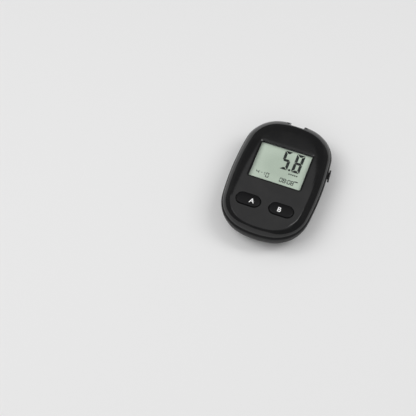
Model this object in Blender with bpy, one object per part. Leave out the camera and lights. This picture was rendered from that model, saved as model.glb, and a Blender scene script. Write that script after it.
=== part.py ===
# Blood glucose meter: a black oval hand-held meter with a recessed display, two keys,
# a test strip port in its upper end, a strip ejector on its right side and two cells
# behind a slide-off door in its rear cover.
#
# Metres, +Z up. The meter lies on its back at Z = 0 with the display facing up,
# +Y points to the strip port and +X to the ejector. X = 0 is the middle of the housing.

import math

import bmesh
import bpy
from mathutils import Matrix, Vector

MM = 0.001

# Housing outline seen from above: side, end and corner arcs that run into each other,
# as shares of the body's length (side) and width (ends and corners)
BODY_LENGTH = 83.0 * MM
BODY_WIDTH = 56.5 * MM
WIDEST_SHIFT = 0.5 * MM
SIDE_RADIUS_SHARE = 2.265
UPPER_RADIUS_SHARE = 0.876
LOWER_RADIUS_SHARE = 0.9027
UPPER_CORNER_SHARE = 0.3788
LOWER_CORNER_SHARE = 0.3841
LEAST_CORNER_SHARE = 0.2

# Housing section
BODY_HEIGHT = 22.0 * MM
WALL = 1.8 * MM
FACE_DEPTH = 5.6 * MM
RIM_HEIGHT = 1.4 * MM
SEAM_INSET = 0.6 * MM
BASE_INSET_SHARE = 0.2478
RIM_SHARES = (0.45, 0.8, 1.0)
REAR_CURVE = 2.0
REVEAL = 0.2 * MM
SHOULDER_SIDE = 5.2 * MM
SHOULDER_UPPER = 6.2 * MM
SHOULDER_LOWER = 3.0 * MM
SHOULDER_CURVE = 0.65
SHOULDER_SHARES = (0, 0.04, 0.15, 0.35, 0.65, 0.92)
INNER_SHOULDER_SHARES = (0.92, 0.5)
CROWN_SHARES = (0.08, 0.35, 0.7, 1.0)
INNER_CROWN_SHARES = (1.0, 0.35)
CROWN_RISE = 0.55 * MM
CROWN_WIDTH = 5.0 * MM
LIP_WALL = 1.0 * MM
LIP_DEPTH = 1.5 * MM
LIP_RISE = 1.0 * MM

# Running and seating clearance between neighbours
GAP = 0.3 * MM
# How far a cutter reaches past what it cuts
OVERRUN = 12.0 * MM
# How far a boss or rib is sunk into the wall that carries it
ROOT = 0.6 * MM
# How far inside the outer surface a boss or rib ends where the form trims it
FUSE = 0.15 * MM

# Display: opening in the face, lens, glass cell and their frame
DISPLAY_Y_SHARE = 0.0741
OPENING_MARGIN = 12.3 * MM
OPENING_HEIGHT = 25.9 * MM
OPENING_CORNER = 0.8 * MM
CHAMFER_WIDTH = 1.0 * MM
CHAMFER_DEPTH = 0.55 * MM
LENS_DEPTH = 0.75 * MM
LENS_OVERLAP = 1.25 * MM
LENS_THICKNESS = 1.0 * MM
GASKET_THICKNESS = 0.4 * MM
GASKET_WIDTH = 1.1 * MM
GLASS_OVERLAP = 2.3 * MM
GLASS_THICKNESS = 0.7 * MM
GLASS_LEDGE = 2.6 * MM
REFLECTOR_THICKNESS = 0.25 * MM
FRAME_WALL = 0.9 * MM
FRAME_LIP_THICKNESS = 0.35 * MM
FRAME_PEG_RADIUS = 0.7 * MM
FRAME_PEG_LENGTH = 1.5 * MM
FRAME_PEG_Y_SHARE = 0.333
DISPLAY_SPACE = 2.15 * MM
CONNECTOR_WIDTH = 1.6 * MM

# Keys and their switches
KEY_WIDTH = 7.7 * MM
KEY_MARGIN = 10.75 * MM
KEY_SPACE = 5.6 * MM
KEY_Y_SHARE = -0.2825
KEY_PROUD = 0.45 * MM
KEY_ROUNDING = 0.6 * MM
KEY_ROUNDING_SHARES = (0.25, 0.333)
KEY_CROWN_SHARES = (0.333, 0.25)
KEY_FLANGE = 1.0 * MM
KEY_FLANGE_THICKNESS = 0.7 * MM
KEY_TRAVEL = 0.5 * MM
KEY_STEM_RADIUS = 1.8 * MM
SWITCH_SIZE = 6.2 * MM
SWITCH_HEIGHT = 1.7 * MM
SWITCH_FLOOR = 0.4 * MM
PLUNGER_RADIUS = 1.3 * MM
PLUNGER_EDGE = 0.2 * MM
PLUNGER_DEPTH = 0.5 * MM

# Cells and the well that holds them, measured from the lower end. The cells fill the
# room that the board, the display and the strip port leave them: 10.5 by 44.5 mm.
CELL_NUB_RADIUS = 1.9 * MM
CELL_NUB_LENGTH = 0.8 * MM
CELL_SPACE = 0.6 * MM
WELL_START = 8.6 * MM
WELL_WALL = 1.1 * MM
WELL_ROOF = 0.8 * MM
WELL_SIDE_SPACE = 0.9 * MM
CONTACT_THICKNESS = 0.4 * MM
CONTACT_EDGE = 1.25 * MM
CONTACT_RISE = 1.4 * MM
CONTACT_TOP_SPACE = 0.9 * MM
DIMPLE_RADIUS = 1.6 * MM
DIMPLE_HEIGHT = 0.5 * MM
TAB_WIDTH = 2.0 * MM
CONTACT_SPRING_LENGTH = 3.2 * MM
CONTACT_SPRING_WIRE = 0.35 * MM
CONTACT_SPRING_BASE = 3.2 * MM
CONTACT_SPRING_TIP = 1.9 * MM
CONTACT_SPRING_TURNS = 2.5

# Battery door
DOOR_WALL = 1.6 * MM
DOOR_END_HEIGHT = 7.0 * MM
DOOR_RAIL_WIDTH = 2.1 * MM
DOOR_RAIL_THICKNESS = 0.8 * MM
DOOR_RAIL_WEB = 1.5 * MM
DOOR_RAIL_SETBACK = 3.7 * MM
DOOR_FOOT_REACH = 0.6 * MM
DOOR_FOOT_LENGTH = 10.2 * MM
DOOR_TONGUE_WIDTH = 4.2 * MM
DOOR_TONGUE_REACH = 1.6 * MM
DOOR_TONGUE_ROOT = 3.0 * MM
GRIP_GROOVES = 5
GRIP_PITCH = 1.9 * MM
GRIP_GROOVE_WIDTH = 0.9 * MM
GRIP_GROOVE_DEPTH = 0.5 * MM
GRIP_LENGTH = 13.0 * MM
GRIP_Y_SHARE = -0.2048

# Circuit board and what stands on it
BOARD_INSET = 4.6 * MM
BOARD_THICKNESS = 1.0 * MM
CHIP_SIZE = 8.0 * MM
CHIP_HEIGHT = 0.8 * MM
CHIP_SHIFT = 2.85 * MM
CHIP_LEG = 0.7 * MM
CHIP_LEG_THICKNESS = 0.27 * MM
CHIP_LEG_PITCH_SHARE = 0.125
CHIP_LEG_WIDTH_SHARE = 0.0625
MEMORY_LENGTH = 5.0 * MM
MEMORY_WIDTH = 4.0 * MM
MEMORY_X_SHARE = 0.36
RADIO_WIDTH = 9.0 * MM
RADIO_LENGTH = 6.6 * MM
RADIO_HEIGHT = 1.8 * MM
RADIO_LOW_SPACE = 3.0 * MM
CRYSTAL_LENGTH = 3.2 * MM
CRYSTAL_WIDTH = 1.5 * MM
CRYSTAL_X_SHARE = -0.33
BUZZER_RADIUS_SHARE = 0.33
BUZZER_HEIGHT = 2.6 * MM
BUZZER_X_SHARE = 0.41
BUZZER_Y = 1.5 * MM
BUZZER_VENT_RADIUS = 1.0 * MM
BUZZER_VENT_DEPTH = 1.0 * MM
SMALL_LENGTH = 1.6 * MM
SMALL_WIDTH = 0.8 * MM
SMALL_HEIGHT = 0.6 * MM
SMALL_PITCH = 2.4 * MM
SMALL_COUNT = 5
SMALL_SPACE = 3.0 * MM

# Screws and their bosses
UPPER_BOSS_SPACE = 0.7 * MM
UPPER_BOSS_Y_SHARE = 0.3735
LOWER_BOSS_SHARES = (0.3097, -0.3687)
SCREW_RADIUS = 0.8 * MM
SCREW_REACH = 2.6 * MM
SCREW_HEAD_RADIUS = 1.7 * MM
SCREW_HEAD_HEIGHT = 1.3 * MM
SCREW_SLOT_WIDTH = 0.5 * MM
SCREW_SLOT_LENGTH = 2.0 * MM
SCREW_SLOT_DEPTH = 0.6 * MM
SCREW_SEAT_DROP = 6.6 * MM
SCREW_HEAD_SHARES = (0.75, 0.667)
SCREW_POINT_SHARE = 0.333
BOSS_WALL = 1.3 * MM
REAR_BOSS_WALL = 0.9 * MM

# Strip port, its notch in the rim and its contacts
NOTCH_WIDTH = 9.3 * MM
NOTCH_DEPTH = 5.2 * MM
NOTCH_WALL = 1.6 * MM
NOTCH_SIDE_WALL = 1.9 * MM
NOTCH_DROP = 4.3 * MM
STRIP_WIDTH = 7.0 * MM
STRIP_SLOT = 1.0 * MM
STRIP_ROOF = 0.7 * MM
PORT_WIDTH = 12.0 * MM
PORT_LENGTH = 7.9 * MM
PORT_FLOOR = 1.0 * MM
PORT_CONTACTS = 5
PORT_CONTACT_PITCH = 1.35 * MM
PORT_CONTACT_WIDTH = 0.5 * MM
PORT_CONTACT_THICKNESS = 0.2 * MM
PORT_CONTACT_LENGTH = 3.2 * MM
PORT_CONTACT_SHARES = ((0, 1), (0.35, 0.95), (0.72, 0), (1, 0.35))

# Strip ejector: outside thumb piece, inner arm and return spring
THUMB_SETBACK = 7.05 * MM
THUMB_LENGTH = 6.4 * MM
THUMB_HEIGHT = 5.0 * MM
THUMB_PROUD = 0.9 * MM
THUMB_RIDGES = 4
THUMB_RIDGE_DEPTH = 0.35 * MM
GROOVE_SHARE = 0.5
EJECT_TRAVEL = 4.5 * MM
STEM_LENGTH = 3.6 * MM
STEM_HEIGHT = 2.4 * MM
ARM_BAR_WIDTH = 1.6 * MM
ARM_BAR_SETBACK_SHARE = 0.1212
ARM_THICKNESS = 2.0 * MM
ARM_CROSS_WIDTH = 2.0 * MM
ARM_SPACE = 1.0 * MM
FINGER_WIDTH = 5.0 * MM
FINGER_ENTRY = 0.9 * MM
PEG_RADIUS = 0.6 * MM
RETURN_SPRING_RADIUS = 1.1 * MM
RETURN_SPRING_WIRE = 0.2 * MM
RETURN_SPRING_LENGTH = 8.2 * MM
RETURN_SPRING_TURNS = 7
RETURN_SPRING_SETBACK = 2.0 * MM
RETURN_PIN_RADIUS = 0.45 * MM
RETURN_PIN_LENGTH = 2.5 * MM
RIB_THICKNESS = 1.2 * MM

# How finely arcs are divided
SIDE_STEPS = 4
CORNER_STEPS = 6
END_STEPS = 5
REAR_STEPS = 6
ROUND_STEPS = 20
SMALL_ROUND_STEPS = 12
ARC_STEPS = 4
COIL_STEPS = 9
COIL_SIDES = 5

# Sizes and places that follow from the sizes above
HALF_LENGTH = BODY_LENGTH / 2
HALF_WIDTH = BODY_WIDTH / 2
SIDE_RADIUS = BODY_LENGTH * SIDE_RADIUS_SHARE
UPPER_RADIUS = BODY_WIDTH * UPPER_RADIUS_SHARE
LOWER_RADIUS = BODY_WIDTH * LOWER_RADIUS_SHARE
UPPER_CORNER = BODY_WIDTH * UPPER_CORNER_SHARE
LOWER_CORNER = BODY_WIDTH * LOWER_CORNER_SHARE
BASE_INSET = BODY_WIDTH * BASE_INSET_SHARE
CREASE_HEIGHT = BODY_HEIGHT - CROWN_RISE
INNER_FACE = BODY_HEIGHT - WALL
SEAM_HEIGHT = BODY_HEIGHT - FACE_DEPTH
WIDEST_HEIGHT = SEAM_HEIGHT - RIM_HEIGHT
DISPLAY_Y = BODY_LENGTH * DISPLAY_Y_SHARE
OPENING_WIDTH = BODY_WIDTH - 2 * OPENING_MARGIN
LENS_TOP = BODY_HEIGHT - LENS_DEPTH - GAP
LENS_BOTTOM = LENS_TOP - LENS_THICKNESS
GASKET_BOTTOM = LENS_BOTTOM - GAP - GASKET_THICKNESS
GLASS_TOP = GASKET_BOTTOM - GAP
GLASS_STEP = GLASS_TOP - GLASS_THICKNESS
GLASS_BOTTOM = GLASS_STEP - GLASS_THICKNESS
GLASS_WIDTH = OPENING_WIDTH + 2 * GLASS_OVERLAP
GLASS_LENGTH = OPENING_HEIGHT + 2 * GLASS_OVERLAP
LENS_WIDTH = OPENING_WIDTH + 2 * LENS_OVERLAP
LENS_LENGTH = OPENING_HEIGHT + 2 * LENS_OVERLAP
KEY_LENGTH = HALF_WIDTH - KEY_MARGIN - KEY_SPACE / 2
KEY_X = (KEY_SPACE + KEY_LENGTH) / 2
KEY_Y = BODY_LENGTH * KEY_Y_SHARE
BOARD_SEAT = GLASS_BOTTOM - DISPLAY_SPACE
BOARD_TOP = BOARD_SEAT - GAP
BOARD_BOTTOM = BOARD_TOP - BOARD_THICKNESS
WELL_TOP = BOARD_BOTTOM - GAP - WELL_ROOF
CELL_FLOOR = DOOR_WALL + 2 * GAP
CELL_RADIUS = (WELL_TOP - GAP - CELL_FLOOR) / 2
CELL_Z = CELL_FLOOR + CELL_RADIUS
CELL_X = CELL_RADIUS + CELL_SPACE / 2
WELL_HALF_WIDTH = CELL_X + CELL_RADIUS + WELL_SIDE_SPACE
STRIP_Z = BOARD_BOTTOM - GAP - STRIP_ROOF - STRIP_SLOT / 2
NOTCH_FACE = HALF_LENGTH - NOTCH_DEPTH
PORT_UPPER = NOTCH_FACE - NOTCH_WALL - GAP
PORT_LOWER = PORT_UPPER - PORT_LENGTH
CROSS_UPPER = PORT_LOWER - GAP - EJECT_TRAVEL - GAP
CROSS_LOWER = CROSS_UPPER - ARM_CROSS_WIDTH
ARM_BOTTOM = STRIP_Z - ARM_THICKNESS + STRIP_SLOT / 2 - GAP
ARM_BAR_X = HALF_WIDTH - BODY_WIDTH * ARM_BAR_SETBACK_SHARE
RETURN_SPRING_X = ARM_BAR_X - RETURN_SPRING_SETBACK
THUMB_Y = CROSS_UPPER - THUMB_SETBACK
THUMB_Z = STRIP_Z
STEM_LOWER = THUMB_Y - STEM_LENGTH / 2
STEM_UPPER = THUMB_Y + STEM_LENGTH / 2
WELL_LOWER = WELL_START - HALF_LENGTH
WELL_UPPER = CROSS_LOWER - ARM_SPACE - WELL_WALL
CELL_LENGTH = (WELL_UPPER - WELL_LOWER - CONTACT_SPRING_LENGTH - DIMPLE_HEIGHT
               - 2 * CONTACT_THICKNESS - 4 * GAP)
BUZZER_ROOM = HALF_WIDTH - WALL - WELL_HALF_WIDTH - WELL_WALL
BUZZER_RADIUS = BUZZER_ROOM * BUZZER_RADIUS_SHARE
BUZZER_X = -WELL_HALF_WIDTH - WELL_WALL - BUZZER_ROOM * BUZZER_X_SHARE
CHIP_Y = DISPLAY_Y + CHIP_SHIFT
MEMORY_X = OPENING_WIDTH * MEMORY_X_SHARE
CRYSTAL_X = OPENING_WIDTH * CRYSTAL_X_SHARE
GRIP_Y = BODY_LENGTH * GRIP_Y_SHARE
SCREW_SEAT_HEIGHT = BOARD_BOTTOM - SCREW_SEAT_DROP
UPPER_BOSS_X = (RETURN_SPRING_X - RETURN_SPRING_RADIUS - RETURN_SPRING_WIRE - UPPER_BOSS_SPACE
                - REAR_BOSS_WALL - GAP - SCREW_HEAD_RADIUS)
UPPER_BOSS = (UPPER_BOSS_X, BODY_LENGTH * UPPER_BOSS_Y_SHARE)
LOWER_BOSS = (BODY_WIDTH * LOWER_BOSS_SHARES[0], BODY_LENGTH * LOWER_BOSS_SHARES[1])
BOSSES = [(side * x, y) for x, y in (UPPER_BOSS, LOWER_BOSS) for side in (-1, 1)]

# Finishes: colour, roughness, metallic
FINISHES = {
    "gloss_black": ((0.012, 0.012, 0.013), 0.12, 0.0),
    "satin_black": ((0.014, 0.014, 0.015), 0.38, 0.0),
    "key_black": ((0.010, 0.010, 0.011), 0.3, 0.0),
    "clear_lens": ((0.8, 0.82, 0.8), 0.05, 0.0),
    "display_glass": ((0.42, 0.46, 0.42), 0.2, 0.0),
    "reflector": ((0.62, 0.65, 0.6), 0.45, 0.2),
    "white_plastic": ((0.75, 0.75, 0.73), 0.45, 0.0),
    "grey_foam": ((0.08, 0.08, 0.08), 0.9, 0.0),
    "zebra_rubber": ((0.3, 0.3, 0.32), 0.7, 0.0),
    "board_green": ((0.02, 0.16, 0.06), 0.4, 0.0),
    "chip_black": ((0.02, 0.02, 0.02), 0.5, 0.0),
    "ceramic_tan": ((0.45, 0.33, 0.2), 0.5, 0.0),
    "nickel_plate": ((0.72, 0.7, 0.66), 0.28, 1.0),
    "spring_steel": ((0.6, 0.6, 0.62), 0.3, 1.0),
    "gold_plate": ((0.83, 0.62, 0.25), 0.25, 1.0),
    "cell_sleeve": ((0.1, 0.13, 0.16), 0.35, 0.3),
    "port_ivory": ((0.7, 0.68, 0.6), 0.5, 0.0),
    "screw_steel": ((0.35, 0.35, 0.37), 0.35, 1.0),
}


def clear_scene():
    for thing in list(bpy.data.objects):
        bpy.data.objects.remove(thing, do_unlink=True)


def finish(name):
    # One Principled material for each finish, made the first time that it is asked for.
    material = bpy.data.materials.get(name)
    if material is None:
        colour, roughness, metallic = FINISHES[name]
        material = bpy.data.materials.new(name)
        material.use_nodes = True
        shader = material.node_tree.nodes["Principled BSDF"]
        shader.inputs["Base Color"].default_value = (*colour, 1.0)
        shader.inputs["Roughness"].default_value = roughness
        shader.inputs["Metallic"].default_value = metallic
    return material


def add_object(name, bm, look=None, place=(0, 0, 0), smooth=None):
    # Turns a bmesh into a named object at its place, with outward faces.
    bmesh.ops.recalc_face_normals(bm, faces=bm.faces)
    mesh = bpy.data.meshes.new(name)
    bm.to_mesh(mesh)
    bm.free()
    thing = bpy.data.objects.new(name, mesh)
    thing.location = place
    bpy.context.scene.collection.objects.link(thing)
    if look:
        mesh.materials.append(finish(look))
    if smooth:
        mesh.shade_smooth()
        mesh.set_sharp_from_angle(angle=math.radians(smooth))
    return thing


def combine(target, operation, tool):
    # Joins, cuts or trims the target with a tool that isn't itself a piece of the meter.
    tool.hide_render = True
    tool.display_type = "WIRE"
    step = target.modifiers.new(operation.lower(), "BOOLEAN")
    step.operation = operation
    step.solver = "EXACT"
    step.object = tool
    return target


def join(target, *tools):
    for tool in tools:
        combine(target, "UNION", tool)


def cut(target, *tools):
    for tool in tools:
        combine(target, "DIFFERENCE", tool)


def trim(target, tool):
    combine(target, "INTERSECT", tool)


def skin(rings):
    # A closed solid through rings of equal point counts, capped at both ends.
    bm = bmesh.new()
    loops = [[bm.verts.new(point) for point in ring] for ring in rings]
    for lower, upper in zip(loops, loops[1:]):
        for i in range(len(lower)):
            j = (i + 1) % len(lower)
            bm.faces.new((lower[i], lower[j], upper[j], upper[i]))
    bm.faces.new(reversed(loops[0]))
    bm.faces.new(loops[-1])
    return bm


def layer(points, height):
    return [Vector((x, y, height)) for x, y in points]


def plate(points, low, high):
    return skin([layer(points, low), layer(points, high)])


def block(low, high):
    # A box between two corners, as a bmesh.
    bm = bmesh.new()
    bmesh.ops.create_cube(bm, size=1)
    size = Vector(high) - Vector(low)
    middle = (Vector(high) + Vector(low)) / 2
    bm.transform(Matrix.Translation(middle) @ Matrix.Diagonal((*size, 1)))
    return bm


def merged(*parts):
    # Puts several bmeshes that don't touch into one.
    whole = bmesh.new()
    for part in parts:
        mesh = bpy.data.meshes.new("part")
        part.to_mesh(mesh)
        part.free()
        whole.from_mesh(mesh)
        bpy.data.meshes.remove(mesh)
    return whole


def circle(radius, centre=(0, 0), steps=ROUND_STEPS):
    return [(centre[0] + radius * math.cos(2 * math.pi * i / steps),
             centre[1] + radius * math.sin(2 * math.pi * i / steps)) for i in range(steps)]


def rounded_rectangle(width, length, radius, centre=(0, 0)):
    points = []
    for quarter in range(4):
        turn = math.pi / 2 * quarter
        side = 1 if quarter in (0, 3) else -1
        end = 1 if quarter < 2 else -1
        corner = (centre[0] + side * (width / 2 - radius), centre[1] + end * (length / 2 - radius))
        for i in range(ARC_STEPS + 1):
            angle = turn + math.pi / 2 * i / ARC_STEPS
            points.append((corner[0] + radius * math.cos(angle),
                           corner[1] + radius * math.sin(angle)))
    return points


def stadium(length, width, grow=0):
    # A bar with round ends, lying along X, grown outwards by the given amount.
    radius = width / 2 + grow
    points = []
    for side in (1, -1):
        for i in range(2 * ARC_STEPS + 1):
            angle = -side * math.pi / 2 + side * math.pi * i / (2 * ARC_STEPS)
            if side < 0:
                angle = math.pi / 2 + math.pi * i / (2 * ARC_STEPS)
            points.append((side * (length - width) / 2 + radius * math.cos(angle),
                           radius * math.sin(angle)))
    return points


def turned(profile, steps=ROUND_STEPS):
    # A solid of revolution about Z through (radius, height) points, with closed ends.
    return skin([layer(circle(radius, steps=steps), height) for radius, height in profile])


def along_y(bm, place=(0, 0, 0), flip=False):
    # Lays a solid that was turned about Z along +Y, or along -Y when flipped.
    angle = math.pi / 2 if flip else -math.pi / 2
    bm.transform(Matrix.Translation(place) @ Matrix.Rotation(angle, 4, "X"))
    return bm


def arc_points(centre, radius, start, stop, steps):
    return [(centre[0] + radius * math.cos(start + (stop - start) * i / steps),
             centre[1] + radius * math.sin(start + (stop - start) * i / steps))
            for i in range(steps + 1)]


def corner_centre(side_centre, side_reach, end_centre, end_reach):
    # Where the corner arc's centre must lie to run into both the side and the end arc.
    across = Vector(end_centre) - Vector(side_centre)
    along = (side_reach ** 2 - end_reach ** 2 + across.length_squared) / (2 * across.length)
    height = math.sqrt(max(side_reach ** 2 - along ** 2, 0))
    direction = across.normalized()
    foot = Vector(side_centre) + direction * along
    normal = Vector((-direction.y, direction.x))
    return max((foot + normal * height, foot - normal * height), key=lambda p: p.x)


def outline(side, upper, lower):
    # The housing outline, drawn in by its own amount at the sides and at each end.
    side_centre = (HALF_WIDTH - SIDE_RADIUS, WIDEST_SHIFT)
    halves = []
    for end, inset, reach, corner in ((-1, lower, LOWER_RADIUS, LOWER_CORNER),
                                      (1, upper, UPPER_RADIUS, UPPER_CORNER)):
        end_centre = (0, end * (HALF_LENGTH - reach))
        radius = max(corner - (side + inset) / 2, corner * LEAST_CORNER_SHARE)
        centre = corner_centre(side_centre, SIDE_RADIUS - side - radius,
                               end_centre, reach - inset - radius)
        side_angle = math.atan2(centre.y - side_centre[1], centre.x - side_centre[0])
        end_angle = math.atan2(centre.y - end_centre[1], centre.x - end_centre[0])
        half = arc_points(end_centre, reach - inset, end * math.pi / 2, end_angle, END_STEPS)
        half += arc_points(centre, radius, end_angle, side_angle, CORNER_STEPS)[1:]
        half += arc_points(side_centre, SIDE_RADIUS - side, side_angle, 0, SIDE_STEPS)[1:]
        halves.append(half)
    right = halves[0] + halves[1][-2::-1]
    left = [(-x, y) for x, y in right[-2:0:-1]]
    return right + left


def ring(inset, height):
    # An outline at a height; the inset is one value or (side, upper, lower).
    if not isinstance(inset, tuple):
        inset = (inset, inset, inset)
    return layer(outline(*inset), height)


def offset_profile(profile, distance):
    # Moves each point of an (inset, height) profile inwards, square to the profile.
    moved = []
    for i, (inset, height) in enumerate(profile):
        before = profile[max(i - 1, 0)]
        after = profile[min(i + 1, len(profile) - 1)]
        run = Vector((after[0] - before[0], after[1] - before[1])).normalized()
        moved.append((inset + distance * abs(run.y), height + distance * abs(run.x)))
    return moved


def rear_profile():
    # (inset, height) from the edge of the flat base up to the widest line.
    power = 2 / REAR_CURVE
    points = []
    for i in range(REAR_STEPS + 1):
        angle = math.pi / 2 * i / REAR_STEPS
        points.append((BASE_INSET * (1 - math.sin(angle) ** power),
                       WIDEST_HEIGHT * (1 - math.cos(angle) ** power)))
    return points


def rim_profile():
    # (inset, height) from just above the widest line up to the seam.
    return [(SEAM_INSET * share ** 2, WIDEST_HEIGHT + RIM_HEIGHT * share)
            for share in RIM_SHARES]


def rear_hull(draw):
    # The solid form of the rear cover, which trims what is joined to it.
    return skin([ring(inset + draw, height) for inset, height in rear_profile() + rim_profile()])


def rear_shell(wall):
    # The rear cover's wall alone: the hull with its inside taken away.
    outer = rear_profile() + rim_profile()
    below_seam = [point for point in offset_profile(outer, wall)
                  if point[1] < SEAM_HEIGHT - GAP]
    inner = [(BASE_INSET, wall)] + below_seam[1:] + [(SEAM_INSET + wall, SEAM_HEIGHT)]
    return skin([ring(*point) for point in outer + inner[::-1]])


def shoulder(share):
    # Insets and height a given share of the way from the seam to the crease of the face.
    rim = SEAM_INSET + REVEAL
    insets = tuple(rim + (edge - rim) * share
                   for edge in (SHOULDER_SIDE, SHOULDER_UPPER, SHOULDER_LOWER))
    rise = CREASE_HEIGHT - SEAM_HEIGHT - GAP
    return insets, SEAM_HEIGHT + GAP + rise * share ** SHOULDER_CURVE


def crown(share):
    # Insets and height a given share of the way from the crease to the flat of the face.
    insets = tuple(edge + CROWN_WIDTH * share
                   for edge in (SHOULDER_SIDE, SHOULDER_UPPER, SHOULDER_LOWER))
    return insets, CREASE_HEIGHT + CROWN_RISE * (1 - (1 - share) ** 2)


def front_outer():
    return [shoulder(share) for share in SHOULDER_SHARES] + [crown(share) for share in CROWN_SHARES]


def front_inner():
    # The same form drawn in by the wall, from the flat of the face down to the lip.
    slope = (CREASE_HEIGHT - SEAM_HEIGHT) / (SHOULDER_SIDE - SEAM_INSET)
    lean = math.atan(slope)
    points = []
    for share in INNER_CROWN_SHARES:
        insets, height = crown(share)
        points.append((insets, height - WALL))
    for share in INNER_SHOULDER_SHARES:
        insets, height = shoulder(share)
        drawn = tuple(inset + WALL * math.sin(lean) for inset in insets)
        points.append((drawn, height - WALL * math.cos(lean)))
    lip = SEAM_INSET + WALL + GAP
    points.append((lip + LIP_WALL, SEAM_HEIGHT + LIP_RISE))
    points.append((lip + LIP_WALL, SEAM_HEIGHT - LIP_DEPTH))
    points.append((lip, SEAM_HEIGHT - LIP_DEPTH))
    points.append((lip, SEAM_HEIGHT + GAP))
    return points


def front_hull(draw):
    # The solid form under the face, carried down to the base, which trims what is joined to it.
    sections = front_outer()
    sections.insert(0, (sections[0][0], 0))
    return skin([ring(tuple(inset + draw for inset in insets), height - draw)
                 for insets, height in sections])


def column(x, y, radius, low, high, steps=ROUND_STEPS):
    return plate(circle(radius, (x, y), steps), low, high)


def front_cover():
    cover = add_object("front_cover", skin([ring(*p) for p in front_inner() + front_outer()]),
                       "gloss_black", smooth=35)

    # screw bosses and the thickened wall behind the strip notch, kept inside the form
    boss_top = INNER_FACE - CROWN_RISE + ROOT
    bosses = merged(*[column(x, y, SCREW_RADIUS + GAP + BOSS_WALL, BOARD_SEAT, boss_top)
                      for x, y in BOSSES])
    bosses = add_object("front_bosses", bosses)
    half = NOTCH_WIDTH / 2 + NOTCH_SIDE_WALL
    backing = block((-half, NOTCH_FACE - NOTCH_WALL, SEAM_HEIGHT + GAP),
                    (half, HALF_LENGTH, INNER_FACE))
    backing = add_object("notch_backing_front", backing)
    lip_middle = HALF_LENGTH - SEAM_INSET - WALL - GAP - LIP_WALL / 2
    lower_backing = block((-half, NOTCH_FACE - NOTCH_WALL, SEAM_HEIGHT - LIP_DEPTH),
                          (half, lip_middle, INNER_FACE - ROOT))
    lower_backing = add_object("notch_backing_lower", lower_backing)
    form = add_object("front_form", front_hull(FUSE))
    trim(backing, form)
    trim(bosses, form)
    join(cover, bosses, backing, lower_backing)

    # display opening: chamfered rim, lip and the pocket that the lens sits in
    corner = OPENING_CORNER
    centre = (0, DISPLAY_Y)
    rim = rounded_rectangle(OPENING_WIDTH + 2 * CHAMFER_WIDTH, OPENING_HEIGHT + 2 * CHAMFER_WIDTH,
                            corner + CHAMFER_WIDTH, centre)
    throat = rounded_rectangle(OPENING_WIDTH, OPENING_HEIGHT, corner, centre)
    slope = CHAMFER_WIDTH / CHAMFER_DEPTH
    past = rounded_rectangle(OPENING_WIDTH + 2 * CHAMFER_WIDTH + 2 * slope * WALL,
                             OPENING_HEIGHT + 2 * CHAMFER_WIDTH + 2 * slope * WALL,
                             corner + CHAMFER_WIDTH + slope * WALL, centre)
    funnel = skin([layer(throat, INNER_FACE - OVERRUN), layer(throat, BODY_HEIGHT - CHAMFER_DEPTH),
                   layer(rim, BODY_HEIGHT), layer(past, BODY_HEIGHT + WALL)])
    pocket = rounded_rectangle(LENS_WIDTH + 2 * GAP, LENS_LENGTH + 2 * GAP,
                               corner + LENS_OVERLAP, centre)
    pocket = plate(pocket, SEAM_HEIGHT, BODY_HEIGHT - LENS_DEPTH)
    cut(cover, add_object("display_funnel", funnel), add_object("lens_pocket", pocket))

    # key holes, pilot holes for the screws and the strip notch
    holes = []
    for side in (-1, 1):
        hole = plate(stadium(KEY_LENGTH, KEY_WIDTH, GAP), SEAM_HEIGHT, BODY_HEIGHT + OVERRUN)
        hole.transform(Matrix.Translation((side * KEY_X, KEY_Y, 0)))
        holes.append(hole)
    for x, y in BOSSES:
        holes.append(column(x, y, SCREW_RADIUS + GAP, BOARD_SEAT - OVERRUN,
                            BOARD_SEAT + SCREW_REACH + GAP, SMALL_ROUND_STEPS))
    notch = block((-NOTCH_WIDTH / 2, NOTCH_FACE, SEAM_HEIGHT - OVERRUN),
                  (NOTCH_WIDTH / 2, HALF_LENGTH + OVERRUN, BODY_HEIGHT + OVERRUN))
    cut(cover, add_object("face_holes", merged(*holes)), add_object("front_notch", notch))
    return cover


def bar(section, start, stop):
    # A bar along Y with an (x, z) section.
    return skin([[Vector((x, y, z)) for x, z in section] for y in (start, stop)])


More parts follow.
